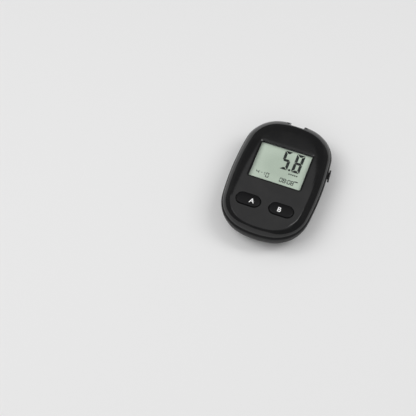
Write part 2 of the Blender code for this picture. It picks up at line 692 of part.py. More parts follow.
def door_tools(grow):
    # The battery door's wall region, rails and tongue, each grown by a clearance. The
    # region widens at the lower end into a foot that covers the ends of the rails.
    narrow = WELL_HALF_WIDTH - GAP + grow
    wide = WELL_HALF_WIDTH + DOOR_RAIL_WIDTH + DOOR_FOOT_REACH + grow
    foot = DOOR_FOOT_LENGTH - HALF_LENGTH + grow
    half = [(wide, -HALF_LENGTH - OVERRUN), (wide, foot), (narrow, foot),
            (narrow, WELL_UPPER - GAP + grow)]
    shape = half + [(-x, y) for x, y in reversed(half)]
    wall = plate(shape, -OVERRUN, DOOR_END_HEIGHT + grow)
    low = WALL + GAP - grow
    high = WALL + GAP + DOOR_RAIL_THICKNESS + grow
    root = DOOR_WALL - FUSE
    outer = WELL_HALF_WIDTH + DOOR_RAIL_WIDTH + grow
    edge = WELL_HALF_WIDTH - GAP
    inner = edge - DOOR_RAIL_WEB
    rails = merged(*[bar([(side * x, z) for x, z in (
        (inner, root), (edge, root), (edge, low), (outer, low), (outer, high), (inner, high))],
        -HALF_LENGTH - OVERRUN, WELL_UPPER - DOOR_RAIL_SETBACK + grow) for side in (-1, 1)])
    half = DOOR_TONGUE_WIDTH / 2 + grow
    section = [(WELL_UPPER - DOOR_TONGUE_ROOT, root), (WELL_UPPER - 2 * GAP, root),
               (WELL_UPPER - 2 * GAP, low), (WELL_UPPER + DOOR_TONGUE_REACH + grow, low),
               (WELL_UPPER + DOOR_TONGUE_REACH + grow, high),
               (WELL_UPPER - DOOR_TONGUE_ROOT, high)]
    tongue = skin([[Vector((x, y, z)) for y, z in section] for x in (-half, half)])
    return wall, rails, tongue


def rear_cover():
    cover = add_object("rear_cover", rear_shell(WALL), "satin_black", smooth=35)
    form = add_object("rear_form", rear_hull(FUSE))

    # battery well, screw bosses, spring rib and the wall round the strip slot
    well = block((-WELL_HALF_WIDTH - WELL_WALL, WELL_LOWER - WELL_WALL, WALL - ROOT),
                 (WELL_HALF_WIDTH + WELL_WALL, WELL_UPPER + WELL_WALL, WELL_TOP + WELL_ROOF))
    well = add_object("well_block", well)
    trim(well, form)
    boss_radius = SCREW_HEAD_RADIUS + GAP + REAR_BOSS_WALL
    bosses = merged(*[column(x, y, boss_radius, 0, BOARD_BOTTOM - GAP) for x, y in BOSSES])
    bosses = add_object("rear_bosses", bosses)
    trim(bosses, form)
    half = NOTCH_WIDTH / 2 + NOTCH_SIDE_WALL
    backing = block((-half, NOTCH_FACE - NOTCH_WALL, STRIP_Z - NOTCH_DROP),
                    (half, HALF_LENGTH, SEAM_HEIGHT - LIP_DEPTH - GAP))
    backing = add_object("notch_backing_rear", backing)
    trim(backing, form)
    rib_lower = CROSS_UPPER + GAP + RETURN_SPRING_LENGTH + GAP
    rib = block((RETURN_SPRING_X - RETURN_SPRING_RADIUS, rib_lower, ARM_BOTTOM),
                (HALF_WIDTH, rib_lower + RIB_THICKNESS, BOARD_BOTTOM - GAP))
    rib = add_object("spring_rib", rib)
    trim(rib, form)
    join(cover, well, bosses, backing, rib)

    # the well's inside, the door's place, its rail channel and the tongue's pocket
    inside = block((-WELL_HALF_WIDTH, WELL_LOWER, -OVERRUN), (WELL_HALF_WIDTH, WELL_UPPER, WELL_TOP))
    cut(cover, add_object("well_inside", inside))
    for name, tool in zip(("door_place", "rail_channel", "tongue_pocket"), door_tools(GAP)):
        cut(cover, add_object(name, tool))

    # slots for the contact tabs, screw holes with their head recesses, the strip notch
    # and slot, the ejector's slot and the sound holes under the buzzer
    holes = []
    for side in (-1, 1):
        middle = side * CELL_X
        holes.append(block((middle - TAB_WIDTH / 2 - GAP, WELL_UPPER - CONTACT_THICKNESS - 2 * GAP,
                            WELL_TOP - ROOT),
                           (middle + TAB_WIDTH / 2 + GAP, WELL_UPPER, BOARD_BOTTOM)))
    for x, y in BOSSES:
        holes.append(turned([(SCREW_HEAD_RADIUS + GAP, -OVERRUN),
                             (SCREW_HEAD_RADIUS + GAP, SCREW_SEAT_HEIGHT),
                             (SCREW_RADIUS + GAP, SCREW_SEAT_HEIGHT),
                             (SCREW_RADIUS + GAP, BOARD_TOP)], SMALL_ROUND_STEPS))
        holes[-1].transform(Matrix.Translation((x, y, 0)))
    for i in range(-1, 2):
        place = BUZZER_Y + i * 3 * BUZZER_VENT_RADIUS
        holes.append(column(BUZZER_X, place, BUZZER_VENT_RADIUS, -OVERRUN, WALL + OVERRUN / 4,
                            SMALL_ROUND_STEPS))
    wall_x = HALF_WIDTH - WALL - ROOT
    holes.append(block((wall_x - WALL, STEM_LOWER - GAP, THUMB_Z - STEM_HEIGHT / 2 - GAP),
                       (HALF_WIDTH + OVERRUN, STEM_UPPER + EJECT_TRAVEL + GAP,
                        THUMB_Z + STEM_HEIGHT / 2 + GAP)))
    cut(cover, add_object("rear_holes", merged(*holes)))
    notch = block((-NOTCH_WIDTH / 2, NOTCH_FACE, STRIP_Z - NOTCH_DROP + WALL),
                  (NOTCH_WIDTH / 2, HALF_LENGTH + OVERRUN, SEAM_HEIGHT + OVERRUN))
    slot = block((-STRIP_WIDTH / 2 - GAP, NOTCH_FACE - NOTCH_WALL - OVERRUN / 4,
                  STRIP_Z - STRIP_SLOT / 2),
                 (STRIP_WIDTH / 2 + GAP, HALF_LENGTH + OVERRUN, STRIP_Z + STRIP_SLOT / 2))
    cut(cover, add_object("rear_notch", notch), add_object("strip_slot", slot))
    return cover


def battery_door():
    door = add_object("battery_door", rear_shell(DOOR_WALL), "satin_black", smooth=35)
    wall, rails, tongue = door_tools(0)
    trim(door, add_object("door_region", wall))
    rails = add_object("door_rails", rails)
    trim(rails, bpy.data.objects["rear_form"])
    join(door, rails, add_object("door_tongue", tongue))

    # finger grip: a ladder of shallow round-ended grooves
    grooves = []
    for i in range(GRIP_GROOVES):
        groove = plate(stadium(GRIP_LENGTH, GRIP_GROOVE_WIDTH), -OVERRUN, GRIP_GROOVE_DEPTH)
        shift = (i - (GRIP_GROOVES - 1) / 2) * GRIP_PITCH
        groove.transform(Matrix.Translation((0, GRIP_Y + shift, 0)))
        grooves.append(groove)
    cut(door, add_object("grip_grooves", merged(*grooves)))
    return door


def display_pieces():
    centre = (0, DISPLAY_Y)
    corner = OPENING_CORNER

    lens = plate(rounded_rectangle(LENS_WIDTH, LENS_LENGTH, corner + LENS_OVERLAP - GAP),
                 0, LENS_THICKNESS)
    add_object("display_window", lens, "clear_lens", (*centre, LENS_BOTTOM))

    gasket = add_object("display_gasket",
                        plate(rounded_rectangle(LENS_WIDTH, LENS_LENGTH, corner), 0,
                              GASKET_THICKNESS), "grey_foam", (*centre, GASKET_BOTTOM))
    inside = plate(rounded_rectangle(LENS_WIDTH - 2 * GASKET_WIDTH, LENS_LENGTH - 2 * GASKET_WIDTH,
                                     corner), -WALL, WALL)
    cut(gasket, add_object("gasket_inside", inside, place=(*centre, GASKET_BOTTOM)))

    # the cell: a front sheet whose ledges carry the pads, and a shorter rear sheet
    short = GLASS_LENGTH - 2 * GLASS_LEDGE
    side = [(-GLASS_LENGTH / 2, 2 * GLASS_THICKNESS), (-GLASS_LENGTH / 2, GLASS_THICKNESS),
            (-short / 2, GLASS_THICKNESS), (-short / 2, 0), (short / 2, 0),
            (short / 2, GLASS_THICKNESS), (GLASS_LENGTH / 2, GLASS_THICKNESS),
            (GLASS_LENGTH / 2, 2 * GLASS_THICKNESS)]
    cell = skin([[Vector((x, y, z)) for y, z in side] for x in (-GLASS_WIDTH / 2, GLASS_WIDTH / 2)])
    add_object("display_glass", cell, "display_glass", (*centre, GLASS_BOTTOM))

    film = plate(rounded_rectangle(OPENING_WIDTH + 2 * GAP, OPENING_HEIGHT - 2 * GAP,
                                   corner), 0, REFLECTOR_THICKNESS)
    add_object("display_reflector", film, "reflector",
               (*centre, GLASS_BOTTOM - GAP - REFLECTOR_THICKNESS))

    # rubber connectors between the board and the ledges of the glass
    for name, side in (("upper_connector", 1), ("lower_connector", -1)):
        place = DISPLAY_Y + side * (GLASS_LENGTH - GLASS_LEDGE) / 2
        strip = block((-GLASS_WIDTH / 2 + GAP, -CONNECTOR_WIDTH / 2, 0),
                      (GLASS_WIDTH / 2 - GAP, CONNECTOR_WIDTH / 2, GLASS_STEP - GAP - BOARD_SEAT))
        add_object(name, strip, "zebra_rubber", (0, place, BOARD_SEAT))

    # frame round the glass: walls, a lip over its edge and pegs into the board
    width = GLASS_WIDTH + 2 * GAP
    length = GLASS_LENGTH + 2 * GAP
    lip_top = GASKET_BOTTOM + FRAME_LIP_THICKNESS
    frame = plate(rounded_rectangle(width + 2 * FRAME_WALL, length + 2 * FRAME_WALL, FRAME_WALL),
                  BOARD_SEAT, lip_top)
    frame = add_object("display_frame", frame, "white_plastic", (*centre, 0))
    inside = plate(rounded_rectangle(width, length, GAP), BOARD_SEAT - WALL, GASKET_BOTTOM)
    view = plate(rounded_rectangle(LENS_WIDTH + 2 * GAP, LENS_LENGTH + 2 * GAP, corner),
                 GLASS_BOTTOM, lip_top + WALL)
    peg_places = [(sign * (width + FRAME_WALL) / 2, end * length * FRAME_PEG_Y_SHARE)
                  for sign in (-1, 1) for end in (-1, 1)]
    pegs = merged(*[column(x, y, FRAME_PEG_RADIUS, BOARD_SEAT - FRAME_PEG_LENGTH,
                           BOARD_SEAT + ROOT, SMALL_ROUND_STEPS) for x, y in peg_places])
    join(frame, add_object("frame_pegs", pegs, place=(*centre, 0)))
    cut(frame, add_object("frame_inside", inside, place=(*centre, 0)),
        add_object("frame_view", view, place=(*centre, 0)))
    return [(x, DISPLAY_Y + y) for x, y in peg_places]


def key_pieces():
    flange_top = INNER_FACE - GAP
    flange_low = flange_top - KEY_FLANGE_THICKNESS
    switch_top = BOARD_SEAT + SWITCH_HEIGHT
    plunger_top = switch_top + KEY_TRAVEL + GAP
    key_top = BODY_HEIGHT + KEY_PROUD
    turn_in, turn_down = KEY_ROUNDING_SHARES
    crown_in, crown_up = KEY_CROWN_SHARES
    for name, side in (("left", -1), ("right", 1)):
        place = (side * KEY_X, KEY_Y, 0)
        cap = skin([layer(stadium(KEY_LENGTH, KEY_WIDTH, grow), height) for grow, height in (
            (KEY_FLANGE, flange_low), (KEY_FLANGE, flange_top), (0, flange_top),
            (0, key_top - KEY_ROUNDING),
            (-KEY_ROUNDING * turn_in, key_top - KEY_ROUNDING * turn_down),
            (-KEY_ROUNDING, key_top),
            (-KEY_WIDTH * crown_in, key_top + KEY_ROUNDING * crown_up))])
        cap = add_object(name + "_key", cap, "key_black", place, smooth=35)
        stem = column(0, 0, KEY_STEM_RADIUS, plunger_top + GAP, flange_low + ROOT / 2)
        join(cap, add_object(name + "_key_stem", stem, place=place))

        base = block((-SWITCH_SIZE / 2, -SWITCH_SIZE / 2, BOARD_SEAT),
                     (SWITCH_SIZE / 2, SWITCH_SIZE / 2, switch_top))
        base = add_object(name + "_switch", base, "nickel_plate", place)
        well = column(0, 0, PLUNGER_RADIUS + GAP, BOARD_SEAT + SWITCH_FLOOR, switch_top + WALL,
                      SMALL_ROUND_STEPS)
        cut(base, add_object(name + "_switch_well", well, place=place))
        plunger = turned([(PLUNGER_RADIUS, switch_top - PLUNGER_DEPTH),
                          (PLUNGER_RADIUS, plunger_top - PLUNGER_EDGE),
                          (PLUNGER_RADIUS - PLUNGER_EDGE, plunger_top)], SMALL_ROUND_STEPS)
        add_object(name + "_switch_plunger", plunger, "key_black", place, smooth=35)


def coil_points(length, radius_start, radius_end, turns):
    # Points of a spring along Y, with its ends flattened towards the end planes.
    count = int(turns * COIL_STEPS)
    points = []
    for i in range(count + 1):
        share = i / count
        angle = 2 * math.pi * turns * share
        radius = radius_start + (radius_end - radius_start) * share
        ease = share - math.sin(2 * math.pi * share) / (4 * math.pi)
        points.append(Vector((radius * math.cos(angle), length * ease, radius * math.sin(angle))))
    return points


def wire(points, radius):
    # A round wire swept along points, as one closed solid.
    rings = []
    for i, point in enumerate(points):
        ahead = points[min(i + 1, len(points) - 1)] - points[max(i - 1, 0)]
        across = Vector((0, 1, 0)).cross(ahead).normalized()
        up = ahead.cross(across).normalized()
        rings.append([point + radius * (across * math.cos(2 * math.pi * k / COIL_SIDES)
                                        + up * math.sin(2 * math.pi * k / COIL_SIDES))
                      for k in range(COIL_SIDES)])
    return skin(rings)


def battery_pieces():
    # Each cell points its nub at a flat contact and its flat end at a spring.
    spring_room = CONTACT_THICKNESS + GAP + CONTACT_SPRING_LENGTH + GAP
    flat_room = CONTACT_THICKNESS + GAP + DIMPLE_HEIGHT + GAP
    body = CELL_LENGTH - CELL_NUB_LENGTH
    edge = CELL_NUB_LENGTH / 2
    profile = [(CELL_RADIUS - edge, 0), (CELL_RADIUS, edge), (CELL_RADIUS, body - edge),
               (CELL_RADIUS - edge, body), (CELL_NUB_RADIUS, body), (CELL_NUB_RADIUS, CELL_LENGTH)]
    for name, side in (("left", -1), ("right", 1)):
        start = WELL_LOWER + spring_room if side < 0 else WELL_UPPER - spring_room
        cell = along_y(turned(profile), flip=side > 0)
        add_object(name + "_cell", cell, "cell_sleeve", (side * CELL_X, start, CELL_Z), smooth=35)

    low = WALL + CONTACT_RISE + GAP
    high = WELL_TOP - CONTACT_TOP_SPACE
    wire_radius = CONTACT_SPRING_WIRE
    for name, ends in (("positive_contact", ((-1, "flat"),)), ("negative_contact", ((1, "coil"),)),
                       ("series_contact", ((-1, "coil"), (1, "flat")))):
        at_lower = name == "series_contact"
        facing = 1 if at_lower else -1
        back = WELL_LOWER + GAP if at_lower else WELL_UPPER - GAP
        front = back + facing * CONTACT_THICKNESS
        xs = [side * CELL_X for side, _ in ends]
        half = CELL_RADIUS - CONTACT_EDGE
        sheet = block((min(xs) - half, min(back, front), low),
                      (max(xs) + half, max(back, front), high))
        contact = add_object(name, sheet, "nickel_plate")
        for side, form in ends:
            if form == "flat":
                bump = turned([(DIMPLE_RADIUS, -CONTACT_THICKNESS / 2),
                               (DIMPLE_RADIUS, DIMPLE_HEIGHT / 2),
                               (DIMPLE_RADIUS / 2, DIMPLE_HEIGHT)], SMALL_ROUND_STEPS)
                tool = along_y(bump, (side * CELL_X, front, CELL_Z), flip=facing < 0)
            else:
                reach = CONTACT_SPRING_LENGTH - 2 * wire_radius + CONTACT_THICKNESS / 2
                coil = wire(coil_points(reach, CONTACT_SPRING_BASE, CONTACT_SPRING_TIP,
                                        CONTACT_SPRING_TURNS), wire_radius)
                start = front + facing * (wire_radius - CONTACT_THICKNESS / 2)
                if facing < 0:
                    coil.transform(Matrix.Rotation(math.pi, 4, "Z"))
                coil.transform(Matrix.Translation((side * CELL_X, start, CELL_Z)))
                tool = coil
            join(contact, add_object(f"{name}_{form}", tool))
        if not at_lower:
            tab = block((xs[0] - TAB_WIDTH / 2, min(back, front), high - ROOT),
                        (xs[0] + TAB_WIDTH / 2, max(back, front), BOARD_SEAT))
            join(contact, add_object(name + "_tab", tab))


def board_pieces(peg_places):
    # the board follows the housing, cut back round the walls of the strip notch
    shape = outline(BOARD_INSET, BOARD_INSET, BOARD_INSET)
    board = plate(shape, BOARD_BOTTOM, BOARD_TOP)
    board = add_object("main_board", board, "board_green")
    low, high = BOARD_BOTTOM - WALL, BOARD_TOP + WALL
    half = NOTCH_WIDTH / 2 + NOTCH_SIDE_WALL + GAP
    cut(board, add_object("board_bay", block((-half, PORT_UPPER, low), (half, HALF_LENGTH, high))))
    holes = [column(x, y, SCREW_RADIUS + GAP, low, high, SMALL_ROUND_STEPS) for x, y in BOSSES]
    holes += [column(x, y, FRAME_PEG_RADIUS + GAP, low, high, SMALL_ROUND_STEPS)
              for x, y in peg_places]
    for side in (-1, 1):
        middle = side * CELL_X
        holes.append(block((middle - TAB_WIDTH / 2 - GAP, WELL_UPPER - CONTACT_THICKNESS - 2 * GAP,
                            low), (middle + TAB_WIDTH / 2 + GAP, WELL_UPPER, high)))
    cut(board, add_object("board_holes", merged(*holes)))

    # controller with a row of legs on each side, memory, crystal and small parts
    chip = block((-CHIP_SIZE / 2, -CHIP_SIZE / 2, 0), (CHIP_SIZE / 2, CHIP_SIZE / 2, CHIP_HEIGHT))
    controller = add_object("controller_chip", chip, "chip_black", (0, CHIP_Y, BOARD_SEAT))
    legs = []
    for i in range(-3, 4):
        for side in (-1, 1):
            near, far = CHIP_SIZE / 2 - CHIP_LEG / 2, CHIP_SIZE / 2 + CHIP_LEG
            shift = i * CHIP_SIZE * CHIP_LEG_PITCH_SHARE
            half = CHIP_SIZE * CHIP_LEG_WIDTH_SHARE / 2
            xs = sorted((side * near, side * far))
            legs.append(block((xs[0], shift - half, 0),
                              (xs[1], shift + half, CHIP_LEG_THICKNESS)))
            legs.append(block((shift - half, xs[0], 0),
                              (shift + half, xs[1], CHIP_LEG_THICKNESS)))
    join(controller, add_object("controller_legs", merged(*legs), place=(0, CHIP_Y, BOARD_SEAT)))

    memory = block((-MEMORY_WIDTH / 2, -MEMORY_LENGTH / 2, 0),
                   (MEMORY_WIDTH / 2, MEMORY_LENGTH / 2, CHIP_HEIGHT))
    add_object("memory_chip", memory, "chip_black", (MEMORY_X, CHIP_Y, BOARD_SEAT))
    crystal = plate(stadium(CRYSTAL_LENGTH, CRYSTAL_WIDTH), 0, CHIP_HEIGHT)
    add_object("crystal", crystal, "nickel_plate", (CRYSTAL_X, CHIP_Y, BOARD_SEAT), smooth=35)

    radio_y = -HALF_LENGTH + BOARD_INSET + RADIO_LOW_SPACE + RADIO_LENGTH / 2
    can = plate(rounded_rectangle(RADIO_WIDTH, RADIO_LENGTH, SMALL_WIDTH), 0, RADIO_HEIGHT)
    add_object("radio_module", can, "nickel_plate", (0, radio_y, BOARD_SEAT))

    buzzer = turned([(BUZZER_RADIUS, 0), (BUZZER_RADIUS, BUZZER_HEIGHT)])
    buzzer = add_object("buzzer", buzzer, "chip_black",
                        (BUZZER_X, BUZZER_Y, BOARD_BOTTOM - GAP - BUZZER_HEIGHT), smooth=35)
    vent = turned([(BUZZER_VENT_RADIUS, -WALL), (BUZZER_VENT_RADIUS, BUZZER_VENT_DEPTH)],
                  SMALL_ROUND_STEPS)
    cut(buzzer, add_object("buzzer_vent", vent, place=buzzer.location))

    row_y = CHIP_Y - CHIP_SIZE / 2 - CHIP_LEG - SMALL_SPACE
    for i in range(SMALL_COUNT):
        shift = (i - (SMALL_COUNT - 1) / 2) * SMALL_PITCH
        small = block((-SMALL_WIDTH / 2, -SMALL_LENGTH / 2, 0),
                      (SMALL_WIDTH / 2, SMALL_LENGTH / 2, SMALL_HEIGHT))
        add_object(f"capacitor_{i + 1}", small, "ceramic_tan", (shift, row_y, BOARD_SEAT))


def strip_port():
    low = STRIP_Z - STRIP_SLOT / 2 - PORT_FLOOR
    high = BOARD_BOTTOM - GAP
    port = add_object("strip_port", block((-PORT_WIDTH / 2, PORT_LOWER, low),
                                          (PORT_WIDTH / 2, PORT_UPPER, high)), "port_ivory")
    slot = block((-STRIP_WIDTH / 2 - GAP, PORT_LOWER - WALL, STRIP_Z - STRIP_SLOT / 2),
                 (STRIP_WIDTH / 2 + GAP, PORT_UPPER + WALL, STRIP_Z + STRIP_SLOT / 2))
    groove_upper = PORT_UPPER - PORT_FLOOR
    groove_lower = groove_upper - PORT_CONTACT_LENGTH - 2 * GAP
    middles = [(i - (PORT_CONTACTS - 1) / 2) * PORT_CONTACT_PITCH for i in range(PORT_CONTACTS)]
    half = PORT_CONTACT_WIDTH / 2
    grooves = [block((x - half - GAP, groove_lower, STRIP_Z),
                     (x + half + GAP, groove_upper, high + WALL)) for x in middles]
    cut(port, add_object("port_slot", slot), add_object("port_grooves", merged(*grooves)))

    # each contact hangs from the board and dips to where the strip lies
    start = groove_lower + GAP
    top = high - PORT_CONTACT_THICKNESS
    dip = STRIP_Z + PORT_CONTACT_THICKNESS
    thick = PORT_CONTACT_THICKNESS
    path = [(start + share * PORT_CONTACT_LENGTH, dip + (top - dip) * rise)
            for share, rise in PORT_CONTACT_SHARES]
    side = path + [(y, z + thick) for y, z in reversed(path)]
    for i, x in enumerate(middles):
        contact = skin([[Vector((edge, y, z)) for y, z in side] for edge in (-half, half)])
        add_object(f"strip_contact_{i + 1}", contact, "gold_plate", (x, 0, 0))


def ejector_pieces():
    # thumb piece outside the wall, square to it, with ridges and a stem through the slot
    along = THUMB_Y - WIDEST_SHIFT
    wall_x = HALF_WIDTH - SIDE_RADIUS + math.sqrt(SIDE_RADIUS ** 2 - along ** 2)
    place = Vector((wall_x, THUMB_Y, THUMB_Z))
    lean = Matrix.Rotation(math.asin(along / SIDE_RADIUS), 4, "Z")
    across = Matrix.Rotation(math.pi / 2, 4, "Y")
    thumb_top = GAP + THUMB_PROUD
    face = rounded_rectangle(THUMB_HEIGHT, THUMB_LENGTH, OPENING_CORNER)
    thumb = plate(face, GAP, thumb_top)
    thumb.transform(lean @ across)
    thumb = add_object("ejector_thumb", thumb, "satin_black", place)
    pitch = THUMB_LENGTH / (THUMB_RIDGES + 1)
    grooves = []
    for i in range(THUMB_RIDGES):
        y = (i + 1) * pitch - THUMB_LENGTH / 2
        half = pitch * GROOVE_SHARE / 2
        grooves.append(block((thumb_top - THUMB_RIDGE_DEPTH, y - half, -THUMB_HEIGHT),
                             (thumb_top + THUMB_PROUD, y + half, THUMB_HEIGHT)))
        grooves[-1].transform(lean)
    cut(thumb, add_object("thumb_grooves", merged(*grooves), place=place))
    bar_outer = ARM_BAR_X + ARM_BAR_WIDTH / 2
    stem = block((bar_outer + GAP, STEM_LOWER, THUMB_Z - STEM_HEIGHT / 2),
                 (wall_x + GAP + THUMB_PROUD / 2, STEM_UPPER, THUMB_Z + STEM_HEIGHT / 2))
    arm_z = ARM_BOTTOM + ARM_THICKNESS / 2
    peg = turned([(PEG_RADIUS, ARM_BAR_X - ARM_BAR_WIDTH / 4), (PEG_RADIUS, bar_outer + ROOT)],
                 SMALL_ROUND_STEPS)
    peg.transform(Matrix.Translation((0, THUMB_Y, arm_z)) @ across)
    join(thumb, add_object("thumb_stem", stem), add_object("thumb_peg", peg))

    # inner arm: side bar, cross bar, pushing finger and spring pin
    top = ARM_BOTTOM + ARM_THICKNESS
    place = Vector((ARM_BAR_X, THUMB_Y, arm_z))
    bar = block((bar_outer - ARM_BAR_WIDTH, STEM_LOWER, ARM_BOTTOM), (bar_outer, CROSS_UPPER, top))
    bar.transform(Matrix.Translation(-place))
    bar = add_object("ejector_arm", bar, "white_plastic", place)
    cross = block((-FINGER_WIDTH / 2, CROSS_LOWER, ARM_BOTTOM),
                  (bar_outer - ARM_BAR_WIDTH / 2, CROSS_UPPER, top))
    finger_low = STRIP_Z - STRIP_SLOT / 2 + GAP
    finger = block((-FINGER_WIDTH / 2, CROSS_UPPER - ROOT, finger_low),
                   (FINGER_WIDTH / 2, PORT_LOWER + FINGER_ENTRY, top))
    pin = along_y(turned([(RETURN_PIN_RADIUS, -ROOT), (RETURN_PIN_RADIUS, RETURN_PIN_LENGTH)],
                         SMALL_ROUND_STEPS), (RETURN_SPRING_X, CROSS_UPPER, arm_z))
    join(bar, add_object("arm_cross", cross), add_object("arm_finger", finger),
         add_object("arm_pin", pin))
    hole = turned([(PEG_RADIUS + GAP, ARM_BAR_X - ARM_BAR_WIDTH),
                   (PEG_RADIUS + GAP, bar_outer + ARM_BAR_WIDTH)], SMALL_ROUND_STEPS)
    hole.transform(Matrix.Translation((0, THUMB_Y, arm_z)) @ across)
    cut(bar, add_object("arm_hole", hole))

    reach = RETURN_SPRING_LENGTH - 2 * RETURN_SPRING_WIRE
    coil = wire(coil_points(reach, RETURN_SPRING_RADIUS, RETURN_SPRING_RADIUS,
                            RETURN_SPRING_TURNS), RETURN_SPRING_WIRE)
    add_object("return_spring", coil, "spring_steel",
               (RETURN_SPRING_X, CROSS_UPPER + GAP + RETURN_SPRING_WIRE, arm_z),
               smooth=60)


def housing_screws():
    seat = SCREW_SEAT_HEIGHT - GAP
    flat, rounded = SCREW_HEAD_SHARES
    profile = [(SCREW_HEAD_RADIUS * flat, seat - SCREW_HEAD_HEIGHT),
               (SCREW_HEAD_RADIUS, seat - SCREW_HEAD_HEIGHT * rounded), (SCREW_HEAD_RADIUS, seat),
               (SCREW_RADIUS, seat), (SCREW_RADIUS, BOARD_SEAT + SCREW_REACH - SCREW_RADIUS),
               (SCREW_RADIUS * SCREW_POINT_SHARE, BOARD_SEAT + SCREW_REACH)]
    slot_top = seat - SCREW_HEAD_HEIGHT + SCREW_SLOT_DEPTH
    half, wide = SCREW_SLOT_LENGTH / 2, SCREW_SLOT_WIDTH / 2
    cross = [(half, wide), (wide, wide), (wide, half), (-wide, half), (-wide, wide),
             (-half, wide), (-half, -wide), (-wide, -wide), (-wide, -half), (wide, -half),
             (wide, -wide), (half, -wide)]
    for i, (x, y) in enumerate(BOSSES):
        screw = add_object(f"housing_screw_{i + 1}", turned(profile, SMALL_ROUND_STEPS),
                           "screw_steel", (x, y, 0), smooth=35)
        cut(screw, add_object(f"screw_cross_{i + 1}", plate(cross, -OVERRUN, slot_top),
                              place=(x, y, 0)))


def gather():
    # One empty at the meter's origin carries every piece.
    meter = bpy.data.objects.new("glucose_meter", None)
    bpy.context.scene.collection.objects.link(meter)
    for thing in bpy.data.objects:
        if thing is not meter and thing.parent is None:
            thing.parent = meter


def main():
    clear_scene()
    front_cover()
    rear_cover()
    battery_door()
    peg_places = display_pieces()
    key_pieces()
    battery_pieces()
    board_pieces(peg_places)
    strip_port()
    ejector_pieces()
    housing_screws()
    gather()


main()
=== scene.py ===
import math

import bmesh
import bpy
from mathutils import Matrix, Vector


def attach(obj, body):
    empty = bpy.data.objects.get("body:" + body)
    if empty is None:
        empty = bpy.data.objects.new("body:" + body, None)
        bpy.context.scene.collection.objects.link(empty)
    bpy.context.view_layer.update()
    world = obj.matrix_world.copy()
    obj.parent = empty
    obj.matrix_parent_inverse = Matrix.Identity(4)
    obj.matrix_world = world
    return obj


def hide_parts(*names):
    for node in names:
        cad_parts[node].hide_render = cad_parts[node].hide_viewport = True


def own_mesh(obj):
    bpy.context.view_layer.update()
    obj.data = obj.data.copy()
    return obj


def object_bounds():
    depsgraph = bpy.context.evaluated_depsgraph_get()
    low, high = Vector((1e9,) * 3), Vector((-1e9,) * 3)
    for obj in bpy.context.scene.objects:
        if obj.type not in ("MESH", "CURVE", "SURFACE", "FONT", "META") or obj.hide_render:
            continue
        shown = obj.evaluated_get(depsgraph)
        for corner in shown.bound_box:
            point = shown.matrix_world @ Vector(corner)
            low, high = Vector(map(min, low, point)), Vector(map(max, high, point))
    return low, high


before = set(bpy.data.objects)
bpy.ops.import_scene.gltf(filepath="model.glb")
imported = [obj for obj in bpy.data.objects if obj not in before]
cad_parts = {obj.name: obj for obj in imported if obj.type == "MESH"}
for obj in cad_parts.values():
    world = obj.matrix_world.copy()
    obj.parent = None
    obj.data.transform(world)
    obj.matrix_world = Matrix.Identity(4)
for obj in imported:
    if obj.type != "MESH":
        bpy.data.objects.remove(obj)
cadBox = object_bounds()
mm = 0.001

# the housing's form, shared by both covers and the battery door
form = {
    "length": 83.0 * mm, "width": 56.5 * mm, "height": 22.0 * mm, "widestShift": 0.5 * mm,
    "sideRadius": 187.995 * mm, "upperRadius": 49.494 * mm, "lowerRadius": 51.0026 * mm,
    "upperCorner": 21.4022 * mm, "lowerCorner": 21.7017 * mm, "leastCorner": 0.2,
    "wall": 1.8 * mm, "gap": 0.3 * mm,
    "widestHeight": 15.0 * mm, "seamHeight": 16.4 * mm, "seamInset": 0.6 * mm,
    "baseInset": 14.0007 * mm, "rearPower": 1.0, "crownRise": 0.55 * mm,
    "steps": (10, 16, 12),  # points along each end arc, corner arc and side arc
}
displayPlace = {"y": 6.1503 * mm, "width": 31.9 * mm, "height": 25.9 * mm, "corner": 0.8 * mm}
keyPlace = {"x": 10.15 * mm, "y": -23.4475 * mm, "length": 14.7 * mm, "width": 7.7 * mm}


# materials
def newGroup(name, inputs, outputs):
    # An empty node group with named sockets, and its input and output nodes.
    group = bpy.data.node_groups.new(name, "ShaderNodeTree")
    for socket, kind, value in inputs:
        made = group.interface.new_socket(socket, in_out="INPUT", socket_type=kind)
        made.default_value = value
    for socket, kind in outputs:
        group.interface.new_socket(socket, in_out="OUTPUT", socket_type=kind)
    return group, group.nodes.new("NodeGroupInput"), group.nodes.new("NodeGroupOutput")


def addNode(tree, kind, **values):
    # Adds a node; values are sockets by name (spaces as underscores) or plain properties.
    node = tree.nodes.new(kind)
    for key, value in values.items():
        if hasattr(node, key):
            setattr(node, key, value)
        else:
            node.inputs[key.replace("_", " ")].default_value = value
    return node


def makeMouldGrain():
    # Fine moulded-plastic texture with long soft swells: a height and a roughness mask.
    group, given, result = newGroup(
        "mouldGrain",
        [("Grain Size", "NodeSocketFloat", 0.0003), ("Swell Size", "NodeSocketFloat", 0.02),
         ("Swell Share", "NodeSocketFloat", 0.3)],
        [("Height", "NodeSocketFloat"), ("Mask", "NodeSocketFloat")])
    link = group.links.new
    place = addNode(group, "ShaderNodeTexCoord")
    sizes = []
    for socket in ("Grain Size", "Swell Size"):
        scale = addNode(group, "ShaderNodeMath", operation="DIVIDE")
        scale.inputs[0].default_value = 1.0
        link(given.outputs[socket], scale.inputs[1])
        noise = addNode(group, "ShaderNodeTexNoise", Detail=2.0, Roughness=0.5)
        link(place.outputs["Object"], noise.inputs["Vector"])
        link(scale.outputs[0], noise.inputs["Scale"])
        sizes.append(noise)
    mix = addNode(group, "ShaderNodeMix", data_type="FLOAT")
    link(given.outputs["Swell Share"], mix.inputs["Factor"])
    link(sizes[0].outputs["Fac"], mix.inputs["A"])
    link(sizes[1].outputs["Fac"], mix.inputs["B"])
    link(mix.outputs["Result"], result.inputs["Height"])
    link(sizes[1].outputs["Fac"], result.inputs["Mask"])
    return group


